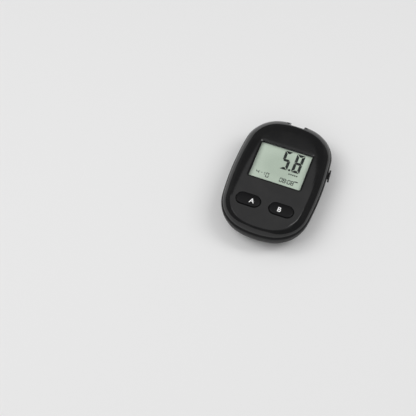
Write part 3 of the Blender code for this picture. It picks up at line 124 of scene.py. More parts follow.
def makeEdgeWear():
    # Worn corners: bright where the surface turns sharply, broken up by noise.
    group, given, result = newGroup(
        "edgeWear",
        [("Start", "NodeSocketFloat", 0.52), ("End", "NodeSocketFloat", 0.6),
         ("Patch Size", "NodeSocketFloat", 0.002)],
        [("Mask", "NodeSocketFloat")])
    link = group.links.new
    shape = addNode(group, "ShaderNodeNewGeometry")
    edge = addNode(group, "ShaderNodeMapRange")
    link(shape.outputs["Pointiness"], edge.inputs["Value"])
    link(given.outputs["Start"], edge.inputs["From Min"])
    link(given.outputs["End"], edge.inputs["From Max"])
    scale = addNode(group, "ShaderNodeMath", operation="DIVIDE")
    scale.inputs[0].default_value = 1.0
    link(given.outputs["Patch Size"], scale.inputs[1])
    place = addNode(group, "ShaderNodeTexCoord")
    noise = addNode(group, "ShaderNodeTexNoise", Detail=3.0)
    link(place.outputs["Object"], noise.inputs["Vector"])
    link(scale.outputs[0], noise.inputs["Scale"])
    both = addNode(group, "ShaderNodeMath", operation="MULTIPLY")
    link(edge.outputs["Result"], both.inputs[0])
    link(noise.outputs["Fac"], both.inputs[1])
    link(both.outputs[0], result.inputs["Mask"])
    return group


def makeFineDust():
    # A little dust that lies on what faces up, thicker in soft patches.
    group, given, result = newGroup(
        "fineDust",
        [("Amount", "NodeSocketFloat", 0.1), ("Patch Size", "NodeSocketFloat", 0.012)],
        [("Mask", "NodeSocketFloat")])
    link = group.links.new
    shape = addNode(group, "ShaderNodeNewGeometry")
    split = addNode(group, "ShaderNodeSeparateXYZ")
    link(shape.outputs["Normal"], split.inputs[0])
    place = addNode(group, "ShaderNodeTexCoord")
    scale = addNode(group, "ShaderNodeMath", operation="DIVIDE")
    scale.inputs[0].default_value = 1.0
    link(given.outputs["Patch Size"], scale.inputs[1])
    noise = addNode(group, "ShaderNodeTexNoise", Detail=6.0, Roughness=0.65)
    link(place.outputs["Object"], noise.inputs["Vector"])
    link(scale.outputs[0], noise.inputs["Scale"])
    patch = addNode(group, "ShaderNodeMapRange", From_Min=0.42, From_Max=0.8)
    link(noise.outputs["Fac"], patch.inputs["Value"])
    upward = addNode(group, "ShaderNodeMath", operation="MULTIPLY", use_clamp=True)
    link(split.outputs["Z"], upward.inputs[0])
    link(patch.outputs["Result"], upward.inputs[1])
    amount = addNode(group, "ShaderNodeMath", operation="MULTIPLY")
    link(upward.outputs[0], amount.inputs[0])
    link(given.outputs["Amount"], amount.inputs[1])
    link(amount.outputs[0], result.inputs["Mask"])
    return group


groups = {"grain": makeMouldGrain(), "wear": makeEdgeWear(), "dust": makeFineDust()}


def placeGroup(tree, name, **values):
    node = tree.nodes.new("ShaderNodeGroup")
    node.node_tree = groups[name]
    for key, value in values.items():
        node.inputs[key.replace("_", " ")].default_value = value
    return node


def startMaterial(name):
    material = bpy.data.materials.new(name)
    material.use_nodes = True
    return material, material.node_tree, material.node_tree.nodes["Principled BSDF"]


def plastic(name, colour, roughness, grain=0.0003, bump=0.02, spread=0.04, wear=None, dust=0.0,
            swell=0.02, specular=0.5):
    # Moulded plastic, or another finish with grain, uneven gloss, worn edges and dust.
    material, tree, shader = startMaterial(name)
    link = tree.links.new
    shader.inputs["Specular IOR Level"].default_value = specular
    texture = placeGroup(tree, "grain", Grain_Size=grain, Swell_Size=swell)
    height = addNode(tree, "ShaderNodeBump", Strength=bump, Distance=grain)
    link(texture.outputs["Height"], height.inputs["Height"])
    link(height.outputs["Normal"], shader.inputs["Normal"])
    gloss = addNode(tree, "ShaderNodeMapRange", To_Min=roughness - spread, To_Max=roughness + spread)
    gloss.inputs["From Min"].default_value = 0.3
    gloss.inputs["From Max"].default_value = 0.7
    link(texture.outputs["Mask"], gloss.inputs["Value"])
    link(gloss.outputs["Result"], shader.inputs["Roughness"])
    worn = wear or tuple(min(1.0, channel * 1.6 + 0.004) for channel in colour)
    edge = placeGroup(tree, "wear")
    tint = addNode(tree, "ShaderNodeMix", data_type="RGBA")
    tint.inputs["A"].default_value = (*colour, 1)
    tint.inputs["B"].default_value = (*worn, 1)
    link(edge.outputs["Mask"], tint.inputs["Factor"])
    powder = placeGroup(tree, "dust", Amount=dust)
    top = addNode(tree, "ShaderNodeMix", data_type="RGBA")
    top.inputs["B"].default_value = (0.35, 0.34, 0.32, 1)
    link(powder.outputs["Mask"], top.inputs["Factor"])
    link(tint.outputs["Result"], top.inputs["A"])
    link(top.outputs["Result"], shader.inputs["Base Color"])
    return material


def metal(name, colour, roughness, brush=(1, 1, 1), bump=0.05, spread=0.06):
    # Plated or drawn metal; brush stretches the scratches along an axis.
    material, tree, shader = startMaterial(name)
    link = tree.links.new
    shader.inputs["Metallic"].default_value = 1.0
    place = addNode(tree, "ShaderNodeTexCoord")
    stretch = addNode(tree, "ShaderNodeMapping")
    stretch.inputs["Scale"].default_value = brush
    link(place.outputs["Object"], stretch.inputs["Vector"])
    noise = addNode(tree, "ShaderNodeTexNoise", Scale=2500.0, Detail=3.0)
    link(stretch.outputs["Vector"], noise.inputs["Vector"])
    gloss = addNode(tree, "ShaderNodeMapRange", To_Min=roughness - spread, To_Max=roughness + spread)
    link(noise.outputs["Fac"], gloss.inputs["Value"])
    link(gloss.outputs["Result"], shader.inputs["Roughness"])
    height = addNode(tree, "ShaderNodeBump", Strength=bump, Distance=0.0001)
    link(noise.outputs["Fac"], height.inputs["Height"])
    link(height.outputs["Normal"], shader.inputs["Normal"])
    stain = addNode(tree, "ShaderNodeTexNoise", Scale=300.0, Detail=4.0)
    link(place.outputs["Object"], stain.inputs["Vector"])
    tint = addNode(tree, "ShaderNodeMix", data_type="RGBA")
    tint.inputs["A"].default_value = (*[c * 0.82 for c in colour], 1)
    tint.inputs["B"].default_value = (*colour, 1)
    link(stain.outputs["Fac"], tint.inputs["Factor"])
    link(tint.outputs["Result"], shader.inputs["Base Color"])
    return material


def lensMaterial():
    # Clear moulded window; light that passes straight through isn't darkened by it.
    material, tree, shader = startMaterial("clearWindow")
    link = tree.links.new
    shader.inputs["Transmission Weight"].default_value = 1.0
    shader.inputs["IOR"].default_value = 1.3
    shader.inputs["Base Color"].default_value = (0.98, 1.0, 0.99, 1)
    haze = placeGroup(tree, "grain", Grain_Size=0.0008, Swell_Size=0.01)
    gloss = addNode(tree, "ShaderNodeMapRange", To_Min=0.0, To_Max=0.04)
    link(haze.outputs["Mask"], gloss.inputs["Value"])
    link(gloss.outputs["Result"], shader.inputs["Roughness"])
    path = addNode(tree, "ShaderNodeLightPath")
    straight = addNode(tree, "ShaderNodeMath", operation="MAXIMUM")
    link(path.outputs["Is Shadow Ray"], straight.inputs[0])
    link(path.outputs["Is Diffuse Ray"], straight.inputs[1])
    clear = addNode(tree, "ShaderNodeBsdfTransparent")
    mix = addNode(tree, "ShaderNodeMixShader")
    link(straight.outputs[0], mix.inputs["Fac"])
    link(shader.outputs[0], mix.inputs[1])
    link(clear.outputs[0], mix.inputs[2])
    link(mix.outputs[0], tree.nodes["Material Output"].inputs["Surface"])
    return material


def displayMaterial():
    # The liquid crystal sheet: grey green, paler towards its rim, with a faint fine grain.
    material, tree, shader = startMaterial("crystalSheet")
    link = tree.links.new
    place = addNode(tree, "ShaderNodeTexCoord")
    spread = addNode(tree, "ShaderNodeMapping")
    middle = (0, displayPlace["y"], 0)
    spread.inputs["Location"].default_value = [-m * s for m, s in zip(middle, (62, 76, 0))]
    spread.inputs["Scale"].default_value = (62, 76, 0)
    link(place.outputs["Object"], spread.inputs["Vector"])
    reach = addNode(tree, "ShaderNodeVectorMath", operation="LENGTH")
    link(spread.outputs["Vector"], reach.inputs[0])
    rim = addNode(tree, "ShaderNodeMapRange", From_Min=0.45, From_Max=1.25)
    link(reach.outputs["Value"], rim.inputs["Value"])
    grain = addNode(tree, "ShaderNodeTexNoise", Scale=4000.0, Detail=1.0)
    link(place.outputs["Object"], grain.inputs["Vector"])
    tint = addNode(tree, "ShaderNodeMix", data_type="RGBA")
    tint.inputs["A"].default_value = (0.41, 0.479, 0.4, 1)
    tint.inputs["B"].default_value = (0.536, 0.616, 0.524, 1)
    link(rim.outputs["Result"], tint.inputs["Factor"])
    speckle = addNode(tree, "ShaderNodeMix", data_type="RGBA", blend_type="MULTIPLY")
    speckle.inputs["Factor"].default_value = 0.06
    link(tint.outputs["Result"], speckle.inputs["A"])
    link(grain.outputs["Color"], speckle.inputs["B"])
    link(speckle.outputs["Result"], shader.inputs["Base Color"])
    shader.inputs["Roughness"].default_value = 0.45
    shader.inputs["Specular IOR Level"].default_value = 0.3
    return material


def boardMaterial():
    # Solder mask with a maze of traces and small pads under it.
    material, tree, shader = startMaterial("coatedBoard")
    link = tree.links.new
    place = addNode(tree, "ShaderNodeTexCoord")
    maze = addNode(tree, "ShaderNodeTexVoronoi", Scale=420.0, distance="CHEBYCHEV",
                   feature="DISTANCE_TO_EDGE")
    link(place.outputs["Object"], maze.inputs["Vector"])
    trace = addNode(tree, "ShaderNodeMath", operation="LESS_THAN")
    trace.inputs[1].default_value = 0.08
    link(maze.outputs["Distance"], trace.inputs[0])
    tint = addNode(tree, "ShaderNodeMix", data_type="RGBA")
    tint.inputs["A"].default_value = (0.012, 0.11, 0.04, 1)
    tint.inputs["B"].default_value = (0.03, 0.22, 0.08, 1)
    link(trace.outputs[0], tint.inputs["Factor"])
    link(tint.outputs["Result"], shader.inputs["Base Color"])
    raised = addNode(tree, "ShaderNodeBump", Strength=0.3, Distance=0.00004)
    link(trace.outputs[0], raised.inputs["Height"])
    link(raised.outputs["Normal"], shader.inputs["Normal"])
    shader.inputs["Roughness"].default_value = 0.3
    return material


def bandedRubber():
    # Connector rubber: thin dark bands through pale silicone, along X.
    material, tree, shader = startMaterial("bandedRubber")
    link = tree.links.new
    place = addNode(tree, "ShaderNodeTexCoord")
    bands = addNode(tree, "ShaderNodeTexWave", Scale=900.0, Distortion=0.0)
    link(place.outputs["Object"], bands.inputs["Vector"])
    tint = addNode(tree, "ShaderNodeMix", data_type="RGBA")
    tint.inputs["A"].default_value = (0.06, 0.06, 0.065, 1)
    tint.inputs["B"].default_value = (0.5, 0.5, 0.52, 1)
    link(bands.outputs["Fac"], tint.inputs["Factor"])
    link(tint.outputs["Result"], shader.inputs["Base Color"])
    shader.inputs["Roughness"].default_value = 0.7
    return material


def sleeveMaterial(name, bandAt):
    # Printed film round a cell, with a copper band near its nub and the bare can at both ends.
    material, tree, shader = startMaterial(name)
    link = tree.links.new
    place = addNode(tree, "ShaderNodeTexCoord")
    split = addNode(tree, "ShaderNodeSeparateXYZ")
    link(place.outputs["Generated"], split.inputs[0])
    band = addNode(tree, "ShaderNodeMath", operation="COMPARE")
    band.inputs[1].default_value = bandAt
    band.inputs[2].default_value = 0.11
    link(split.outputs["Y"], band.inputs[0])
    across = addNode(tree, "ShaderNodeMapping")
    across.inputs["Location"].default_value = (-0.5, 0, -0.5)
    across.inputs["Scale"].default_value = (1, 0, 1)
    link(place.outputs["Generated"], across.inputs["Vector"])
    reach = addNode(tree, "ShaderNodeVectorMath", operation="LENGTH")
    link(across.outputs["Vector"], reach.inputs[0])
    bare = addNode(tree, "ShaderNodeMath", operation="LESS_THAN")
    bare.inputs[1].default_value = 0.44
    link(reach.outputs["Value"], bare.inputs[0])
    film = addNode(tree, "ShaderNodeMix", data_type="RGBA")
    film.inputs["A"].default_value = (0.03, 0.04, 0.055, 1)
    film.inputs["B"].default_value = (0.55, 0.27, 0.09, 1)
    link(band.outputs[0], film.inputs["Factor"])
    tint = addNode(tree, "ShaderNodeMix", data_type="RGBA")
    tint.inputs["B"].default_value = (0.68, 0.68, 0.69, 1)
    link(bare.outputs[0], tint.inputs["Factor"])
    link(film.outputs["Result"], tint.inputs["A"])
    link(tint.outputs["Result"], shader.inputs["Base Color"])
    link(bare.outputs[0], shader.inputs["Metallic"])
    scuff = placeGroup(tree, "grain", Grain_Size=0.0006, Swell_Size=0.008)
    gloss = addNode(tree, "ShaderNodeMapRange", To_Min=0.22, To_Max=0.42)
    link(scuff.outputs["Mask"], gloss.inputs["Value"])
    link(gloss.outputs["Result"], shader.inputs["Roughness"])
    return material


finishes = {
    "glossBlack": plastic("glossBlack", (0.004, 0.004, 0.0045), 0.06, grain=0.0009, bump=0.01,
                          spread=0.02, dust=0.02, swell=0.03),
    "satinBlack": plastic("satinBlack", (0.007, 0.007, 0.0075), 0.42, grain=0.0002, bump=0.12,
                          spread=0.05, dust=0.02, specular=0.15),
    "keyBlack": plastic("keyBlack", (0.005, 0.005, 0.0055), 0.3, grain=0.00025, bump=0.05,
                        specular=0.2),
    "printedWhite": plastic("printedWhite", (0.78, 0.78, 0.78), 0.5, grain=0.0001, bump=0.05),
    "segmentBlack": plastic("segmentBlack", (0.004, 0.006, 0.005), 0.5, grain=0.0001, bump=0.02,
                            specular=0.05),
    "segmentGrey": plastic("segmentGrey", (0.018, 0.024, 0.02), 0.5, grain=0.0001, bump=0.02,
                           specular=0.1),
    "whiteMoulding": plastic("whiteMoulding", (0.72, 0.72, 0.69), 0.42, grain=0.0003, bump=0.06),
    "ivoryMoulding": plastic("ivoryMoulding", (0.66, 0.63, 0.54), 0.45, grain=0.0003, bump=0.06),
    "greyFoam": plastic("greyFoam", (0.05, 0.05, 0.052), 0.92, grain=0.0004, bump=0.5),
    "paleFilm": plastic("paleFilm", (0.6, 0.64, 0.58), 0.5, grain=0.0005, bump=0.02),
    "chipPackage": plastic("chipPackage", (0.018, 0.018, 0.02), 0.5, grain=0.00015, bump=0.1),
    "tanCeramic": plastic("tanCeramic", (0.42, 0.3, 0.18), 0.5, grain=0.0002, bump=0.08),
    "nickelPlate": metal("nickelPlate", (0.74, 0.71, 0.66), 0.26, brush=(1, 8, 1)),
    "springSteel": metal("springSteel", (0.6, 0.6, 0.62), 0.25),
    "goldPlate": metal("goldPlate", (0.86, 0.62, 0.24), 0.22, brush=(8, 1, 1)),
    "zincScrew": metal("zincScrew", (0.42, 0.42, 0.44), 0.3),
    "clearWindow": lensMaterial(), "crystalSheet": displayMaterial(),
    "coatedBoard": boardMaterial(), "bandedRubber": bandedRubber(),
    "leftSleeve": sleeveMaterial("leftSleeve", 0.87),
    "rightSleeve": sleeveMaterial("rightSleeve", 0.13),
}
print("materials:", len(finishes))


# mesh helpers
def meshObject(name, bm, finish=None, sharp=None):
    bmesh.ops.recalc_face_normals(bm, faces=bm.faces)
    mesh = bpy.data.meshes.new(name)
    bm.to_mesh(mesh)
    bm.free()
    piece = bpy.data.objects.new(name, mesh)
    bpy.context.scene.collection.objects.link(piece)
    if finish:
        mesh.materials.append(finishes[finish])
    if sharp:
        mesh.shade_smooth()
        mesh.set_sharp_from_angle(angle=math.radians(sharp))
    return piece


def skin(rings, capStart=True, capEnd=True):
    bm = bmesh.new()
    loops = [[bm.verts.new(point) for point in ring] for ring in rings]
    for lower, upper in zip(loops, loops[1:]):
        for i in range(len(lower)):
            j = (i + 1) % len(lower)
            bm.faces.new((lower[i], lower[j], upper[j], upper[i]))
    if capStart:
        bm.faces.new(reversed(loops[0]))
    if capEnd:
        bm.faces.new(loops[-1])
    return bm


def layer(points, height):
    return [Vector((x, y, height)) for x, y in points]


def plate(points, low, high):
    return skin([layer(points, low), layer(points, high)])


def block(low, high):
    (x0, y0, z0), (x1, y1, z1) = low, high
    return plate([(x0, y0), (x1, y0), (x1, y1), (x0, y1)], z0, z1)


def merged(*parts):
    whole = bmesh.new()
    for part in parts:
        mesh = bpy.data.meshes.new("part")
        part.to_mesh(mesh)
        part.free()
        whole.from_mesh(mesh)
        bpy.data.meshes.remove(mesh)
    return whole


def moved(bm, place):
    bm.transform(Matrix.Translation(place))
    return bm


def circle(radius, centre=(0, 0), steps=48):
    turns = [2 * math.pi * i / steps for i in range(steps)]
    return [(centre[0] + radius * math.cos(t), centre[1] + radius * math.sin(t)) for t in turns]


def column(x, y, radius, low, high, steps=48):
    return plate(circle(radius, (x, y), steps), low, high)


def turned(profile, steps=48):
    return skin([layer(circle(radius, steps=steps), height) for radius, height in profile])


def roundedRectangle(width, length, radius, centre=(0, 0), steps=8):
    points = []
    for quarter in range(4):
        side = 1 if quarter in (0, 3) else -1
        end = 1 if quarter < 2 else -1
        x, y = centre[0] + side * (width / 2 - radius), centre[1] + end * (length / 2 - radius)
        for i in range(steps + 1):
            turn = math.pi / 2 * (quarter + i / steps)
            points.append((x + radius * math.cos(turn), y + radius * math.sin(turn)))
    return points


def stadium(length, width, grow=0, steps=20):
    radius = width / 2 + grow
    points = []
    for side in (1, -1):
        for i in range(steps + 1):
            turn = math.pi * i / steps - side * math.pi / 2
            points.append((side * (length - width) / 2 + radius * math.cos(turn),
                           radius * math.sin(turn)))
    return points


def combine(piece, operation, *tools):
    # Joins, cuts or trims at once, then deletes the tools.
    for tool in tools:
        step = piece.modifiers.new(operation.lower(), "BOOLEAN")
        step.operation = operation
        step.solver = "EXACT"
        step.object = tool
        applied = bpy.data.meshes.new_from_object(
            piece.evaluated_get(bpy.context.evaluated_depsgraph_get()))
        piece.modifiers.clear()
        old = piece.data
        piece.data = applied
        bpy.data.meshes.remove(old)
        bpy.data.objects.remove(tool, do_unlink=True)
    return piece


def trimTo(piece, hull):
    # Keeps what lies inside the hull, once the piece is combined with another.
    step = piece.modifiers.new("trim", "BOOLEAN")
    step.operation, step.solver, step.object = "INTERSECT", "EXACT", hull


def settle(piece, sharp=30):
    # Smooth shading that keeps flat faces flat and edges crisp.
    mesh = piece.data
    mesh.shade_smooth()
    mesh.set_sharp_from_angle(angle=math.radians(sharp))
    even = piece.modifiers.new("evenNormals", "WEIGHTED_NORMAL")
    even.keep_sharp = True
    even.weight = 80
    return piece


def stand(piece, body, slot, *nodes):
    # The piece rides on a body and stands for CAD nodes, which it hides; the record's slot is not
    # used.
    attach(piece, body)
    if nodes:
        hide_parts(*nodes)
    return piece


# the housing's outline and sections
def arcPoints(centre, radius, start, stop, steps):
    turns = [start + (stop - start) * i / steps for i in range(steps + 1)]
    return [(centre[0] + radius * math.cos(t), centre[1] + radius * math.sin(t)) for t in turns]


def cornerCentre(sideCentre, sideReach, endCentre, endReach):
    across = Vector(endCentre) - Vector(sideCentre)
    along = (sideReach ** 2 - endReach ** 2 + across.length_squared) / (2 * across.length)
    height = math.sqrt(max(sideReach ** 2 - along ** 2, 0))
    direction = across.normalized()
    foot = Vector(sideCentre) + direction * along
    normal = Vector((-direction.y, direction.x))
    return max((foot + normal * height, foot - normal * height), key=lambda p: p.x)


def outline(side, upper, lower):
    # Tangent side, corner and end arcs, drawn in by its own amount at the sides and ends.
    halfWidth, halfLength = form["width"] / 2, form["length"] / 2
    endSteps, cornerSteps, sideSteps = form["steps"]
    sideCentre = (halfWidth - form["sideRadius"], form["widestShift"])
    halves = []
    for end, inset, reach, corner in ((-1, lower, form["lowerRadius"], form["lowerCorner"]),
                                      (1, upper, form["upperRadius"], form["upperCorner"])):
        endCentre = (0, end * (halfLength - reach))
        radius = max(corner - (side + inset) / 2, corner * form["leastCorner"])
        centre = cornerCentre(sideCentre, form["sideRadius"] - side - radius,
                              endCentre, reach - inset - radius)
        sideTurn = math.atan2(centre.y - sideCentre[1], centre.x - sideCentre[0])
        endTurn = math.atan2(centre.y - endCentre[1], centre.x - endCentre[0])
        half = arcPoints(endCentre, reach - inset, end * math.pi / 2, endTurn, endSteps)
        half += arcPoints(centre, radius, endTurn, sideTurn, cornerSteps)[1:]
        half += arcPoints(sideCentre, form["sideRadius"] - side, sideTurn, 0, sideSteps)[1:]
        halves.append(half)
    right = halves[0] + halves[1][-2::-1]
    return right + [(-x, y) for x, y in right[-2:0:-1]]


def ring(insets, height):
    insets = insets if isinstance(insets, tuple) else (insets,) * 3
    return layer(outline(*insets), height)


def softened(profile, rounds=2):
    # Cuts the corners of a profile of ((side, upper, lower), height) points.
    points = [(*insets, height) for insets, height in profile]
    for _ in range(rounds):
        fresh = [points[0]]
        for a, b in zip(points, points[1:]):
            fresh.append(tuple(p * 0.75 + q * 0.25 for p, q in zip(a, b)))
            fresh.append(tuple(p * 0.25 + q * 0.75 for p, q in zip(a, b)))
        points = fresh + [points[-1]]
    return [(tuple(p[:3]), p[3]) for p in points]


rear = {"steps": 18, "rimShares": (0.15, 0.35, 0.6, 0.82, 0.94), "rimRound": 0.18 * mm}


def rearProfile():
    points = []
    for i in range(rear["steps"] + 1):
        turn = math.pi / 2 * i / rear["steps"]
        points.append((form["baseInset"] * (1 - math.sin(turn) ** form["rearPower"]),
                       form["widestHeight"] * (1 - math.cos(turn) ** form["rearPower"])))
    rise = form["seamHeight"] - form["widestHeight"]
    for share in rear["rimShares"]:
        points.append((form["seamInset"] * share ** 2, form["widestHeight"] + rise * share))
    points.append((form["seamInset"] + rear["rimRound"], form["seamHeight"]))
    return points


def offsetProfile(profile, distance):
    moves = []
    for i, (inset, height) in enumerate(profile):
        before, after = profile[max(i - 1, 0)], profile[min(i + 1, len(profile) - 1)]
        run = Vector((after[0] - before[0], after[1] - before[1])).normalized()
        moves.append((inset + distance * abs(run.y), height + distance * abs(run.x)))
    return moves


def rearShell(wall):
    outer = rearProfile()
    inner = offsetProfile(outer, wall)
    inner[0] = (form["baseInset"], wall)
    inner[-1] = (form["seamInset"] + wall, form["seamHeight"])
    inner = [p for p in inner[:-1] if p[1] < form["seamHeight"] - 0.2 * mm] + [inner[-1]]
    return skin([ring(*point) for point in outer + inner[::-1]])


def rearHull(draw):
    return skin([ring(inset + draw, height) for inset, height in rearProfile()])


# front cover
front = {
    "reveal": 0.2 * mm, "shoulder": (5.2 * mm, 6.2 * mm, 3.0 * mm), "shoulderCurve": 0.65,
    "crownWidth": 5.0 * mm, "lipWall": 1.0 * mm, "lipDepth": 1.5 * mm, "lipRise": 1.0 * mm,
    "chamferWidth": 1.0 * mm, "chamferDepth": 0.55 * mm, "lensDepth": 0.75 * mm,
    "lensOverlap": 1.25 * mm, "holeRound": 0.25 * mm, "boardSeat": 15.4 * mm,
    "bosses": ((14.502, 31.0005), (17.498, -30.602)), "bossRadius": 2.4 * mm, "pilotRadius": 1.1 * mm,
    "pilotDepth": 2.9 * mm, "fuse": 0.15 * mm,
}
notch = {"width": 9.3 * mm, "depth": 5.2 * mm, "wall": 1.6 * mm, "sideWall": 1.9 * mm,
         "drop": 4.3 * mm, "stripZ": 12.6 * mm, "slot": 1.0 * mm, "stripWidth": 7.0 * mm,
         "round": 0.2 * mm}
creaseHeight = form["height"] - form["crownRise"]
bosses = [(s * x * mm, y * mm) for x, y in front["bosses"] for s in (-1, 1)]


def shoulder(share):
    rim = form["seamInset"] + front["reveal"]
    insets = tuple(rim + (edge - rim) * share for edge in front["shoulder"])
    start = form["seamHeight"] + form["gap"]
    return insets, start + (creaseHeight - start) * share ** front["shoulderCurve"]


def crown(share):
    insets = tuple(edge + front["crownWidth"] * share for edge in front["shoulder"])
    return insets, creaseHeight + form["crownRise"] * (1 - (1 - share) ** 2)


def frontOuter():
    shares = (0, 0.006, 0.02, 0.045, 0.08, 0.13, 0.2, 0.29, 0.4, 0.53, 0.67, 0.82)
    steep = [shoulder(share) for share in shares]
    bend = softened([shoulder(0.82), shoulder(0.99), crown(0.06), crown(0.3)], 3)
    flat = [crown(share) for share in (0.42, 0.55, 0.7, 0.85, 1.0)]
    return steep + bend[1:] + flat


def frontInner():
    wall, gap = form["wall"], form["gap"]
    slope = (creaseHeight - form["seamHeight"]) / (front["shoulder"][0] - form["seamInset"])
    lean = math.atan(slope)
    points = [(insets, height - wall) for insets, height in (crown(1.0), crown(0.35))]
    for share in (0.92, 0.5):
        insets, height = shoulder(share)
        points.append((tuple(i + wall * math.sin(lean) for i in insets),
                       height - wall * math.cos(lean)))
    lip = form["seamInset"] + wall + gap
    seam = form["seamHeight"]
    for inset, height in ((lip + front["lipWall"], seam + front["lipRise"]),
                          (lip + front["lipWall"], seam - front["lipDepth"]),
                          (lip, seam - front["lipDepth"]), (lip, seam + gap)):
        points.append(((inset,) * 3, height))
    return points


def flaredHole(outlineAt, low, face, flare):
    # A cutting tool whose top edge opens out in a quarter round, so the hole's edge is round.
    stages = [(0, low), (0, face - flare)]
    for i in range(1, 6):
        turn = math.pi / 2 * i / 6
        stages.append((flare * (1 - math.cos(turn)), face - flare * (1 - math.sin(turn))))
    stages += [(flare * 1.02, face), (flare * 1.02, face + 2 * mm)]
    return skin([layer(outlineAt(grow), height) for grow, height in stages])


def makeFrontCover():
    wall, gap, face = form["wall"], form["gap"], form["height"]
    cover = meshObject("frontCover", skin([ring(*p) for p in frontInner() + frontOuter()]),
                       "glossBlack")
    half = notch["width"] / 2 + notch["sideWall"]
    notchFace = form["length"] / 2 - notch["depth"]
    outer = frontOuter()
    outer.insert(0, (outer[0][0], 0))
    hull = skin([ring(tuple(i + front["fuse"] for i in insets), height - front["fuse"])
                 for insets, height in outer])
    backing = meshObject("backing", block((-half, notchFace - notch["wall"],
                                           form["seamHeight"] + gap),
                                          (half, form["length"] / 2, face - wall)))
    lipMiddle = form["length"] / 2 - form["seamInset"] - wall - gap - front["lipWall"] / 2
    lower = meshObject("lowerBacking", block((-half, notchFace - notch["wall"],
                                              form["seamHeight"] - front["lipDepth"]),
                                             (half, lipMiddle, face - wall - well["root"])))
    posts = meshObject("posts", merged(*[column(x, y, front["bossRadius"], front["boardSeat"],
                                                face - wall, 32) for x, y in bosses]))
    tool = meshObject("hull", hull)
    for extra in (backing, posts):
        trimTo(extra, tool)
    combine(cover, "UNION", backing, posts, lower)
    bpy.data.objects.remove(tool, do_unlink=True)

    # display opening: throat, chamfer and rounded outer edge, then the window's pocket
    y = displayPlace["y"]
    wide, deep = front["chamferWidth"], front["chamferDepth"]
    stages = [(0, face - 12 * mm), (0, face - deep - 0.06 * mm), (0.03 * mm, face - deep - 0.01 * mm),
              (0.1 * mm, face - deep + 0.035 * mm), (wide * 0.88, face - 0.085 * mm),
              (wide * 0.98, face - 0.035 * mm), (wide * 1.1, face - 0.008 * mm),
              (wide * 1.25, face), (wide * 1.25, face + 2 * mm)]
    funnel = skin([layer(roundedRectangle(displayPlace["width"] + 2 * grow,
                                          displayPlace["height"] + 2 * grow,
                                          displayPlace["corner"] + grow, (0, y)), height)
                   for grow, height in stages])
    edge = front["lensOverlap"] + gap
    pocket = plate(roundedRectangle(displayPlace["width"] + 2 * edge,
                                    displayPlace["height"] + 2 * edge,
                                    displayPlace["corner"] + front["lensOverlap"], (0, y)),
                   form["seamHeight"], face - front["lensDepth"])
    holes = []
    for side in (-1, 1):
        hole = flaredHole(lambda grow: stadium(keyPlace["length"], keyPlace["width"], gap + grow),
                          form["seamHeight"], face, front["holeRound"])
        holes.append(moved(hole, (side * keyPlace["x"], keyPlace["y"], 0)))
    for x, y in bosses:
        holes.append(column(x, y, front["pilotRadius"], 0, front["boardSeat"]
                            + front["pilotDepth"], 24))
    bite = plate(roundedRectangle(notch["width"], 2 * notch["depth"] + 2 * mm, notch["round"],
                                  (0, form["length"] / 2 + mm), 5), 0, face + 2 * mm)
    combine(cover, "DIFFERENCE", meshObject("funnel", funnel), meshObject("pocket", pocket),
            meshObject("holes", merged(*holes)), meshObject("bite", bite))
    settle(cover)
    return stand(cover, "housing", "front_shell", "front_cover")


# rear cover and battery door
well = {"halfWidth": 11.7 * mm, "lower": -32.9 * mm, "upper": 17.3 * mm, "top": 13.0 * mm,
        "wall": 1.1 * mm, "roof": 0.8 * mm, "root": 0.6 * mm, "cellX": 5.55 * mm,
        "tabWidth": 2.0 * mm, "tabSlot": 1.0 * mm}
door = {"wall": 1.6 * mm, "endHeight": 7.0 * mm, "railWidth": 2.1 * mm, "railThickness": 0.8 * mm,
        "railWeb": 1.5 * mm, "railSetback": 3.7 * mm, "footReach": 0.6 * mm,
        "footLength": 10.2 * mm, "tongueWidth": 4.2 * mm, "tongueReach": 1.6 * mm,
        "tongueRoot": 3.0 * mm, "grooves": 5, "groovePitch": 1.9 * mm, "grooveWidth": 0.9 * mm,
        "grooveDepth": 0.5 * mm, "gripLength": 13.0 * mm, "gripY": -16.998 * mm}
screws = {"headRadius": 1.7 * mm, "radius": 0.8 * mm, "seat": 7.5 * mm, "bossWall": 0.9 * mm}
ejector = {"y": 14.35 * mm, "length": 6.4 * mm, "height": 5.0 * mm, "proud": 0.9 * mm,
           "stemLength": 3.6 * mm, "stemHeight": 2.4 * mm, "travel": 4.5 * mm, "ridges": 4,
           "ridgeDepth": 0.35 * mm, "corner": 0.8 * mm, "edge": 0.2 * mm, "barOuter": 22.2 * mm,
           "crossUpper": 21.4 * mm, "springX": 19.4 * mm, "armBottom": 10.8 * mm,
           "springLength": 8.2 * mm, "ribThickness": 1.2 * mm}
boardBottom = 14.1 * mm
buzzerVents = {"x": -18.3965 * mm, "y": 1.5 * mm, "radius": 1.0 * mm}


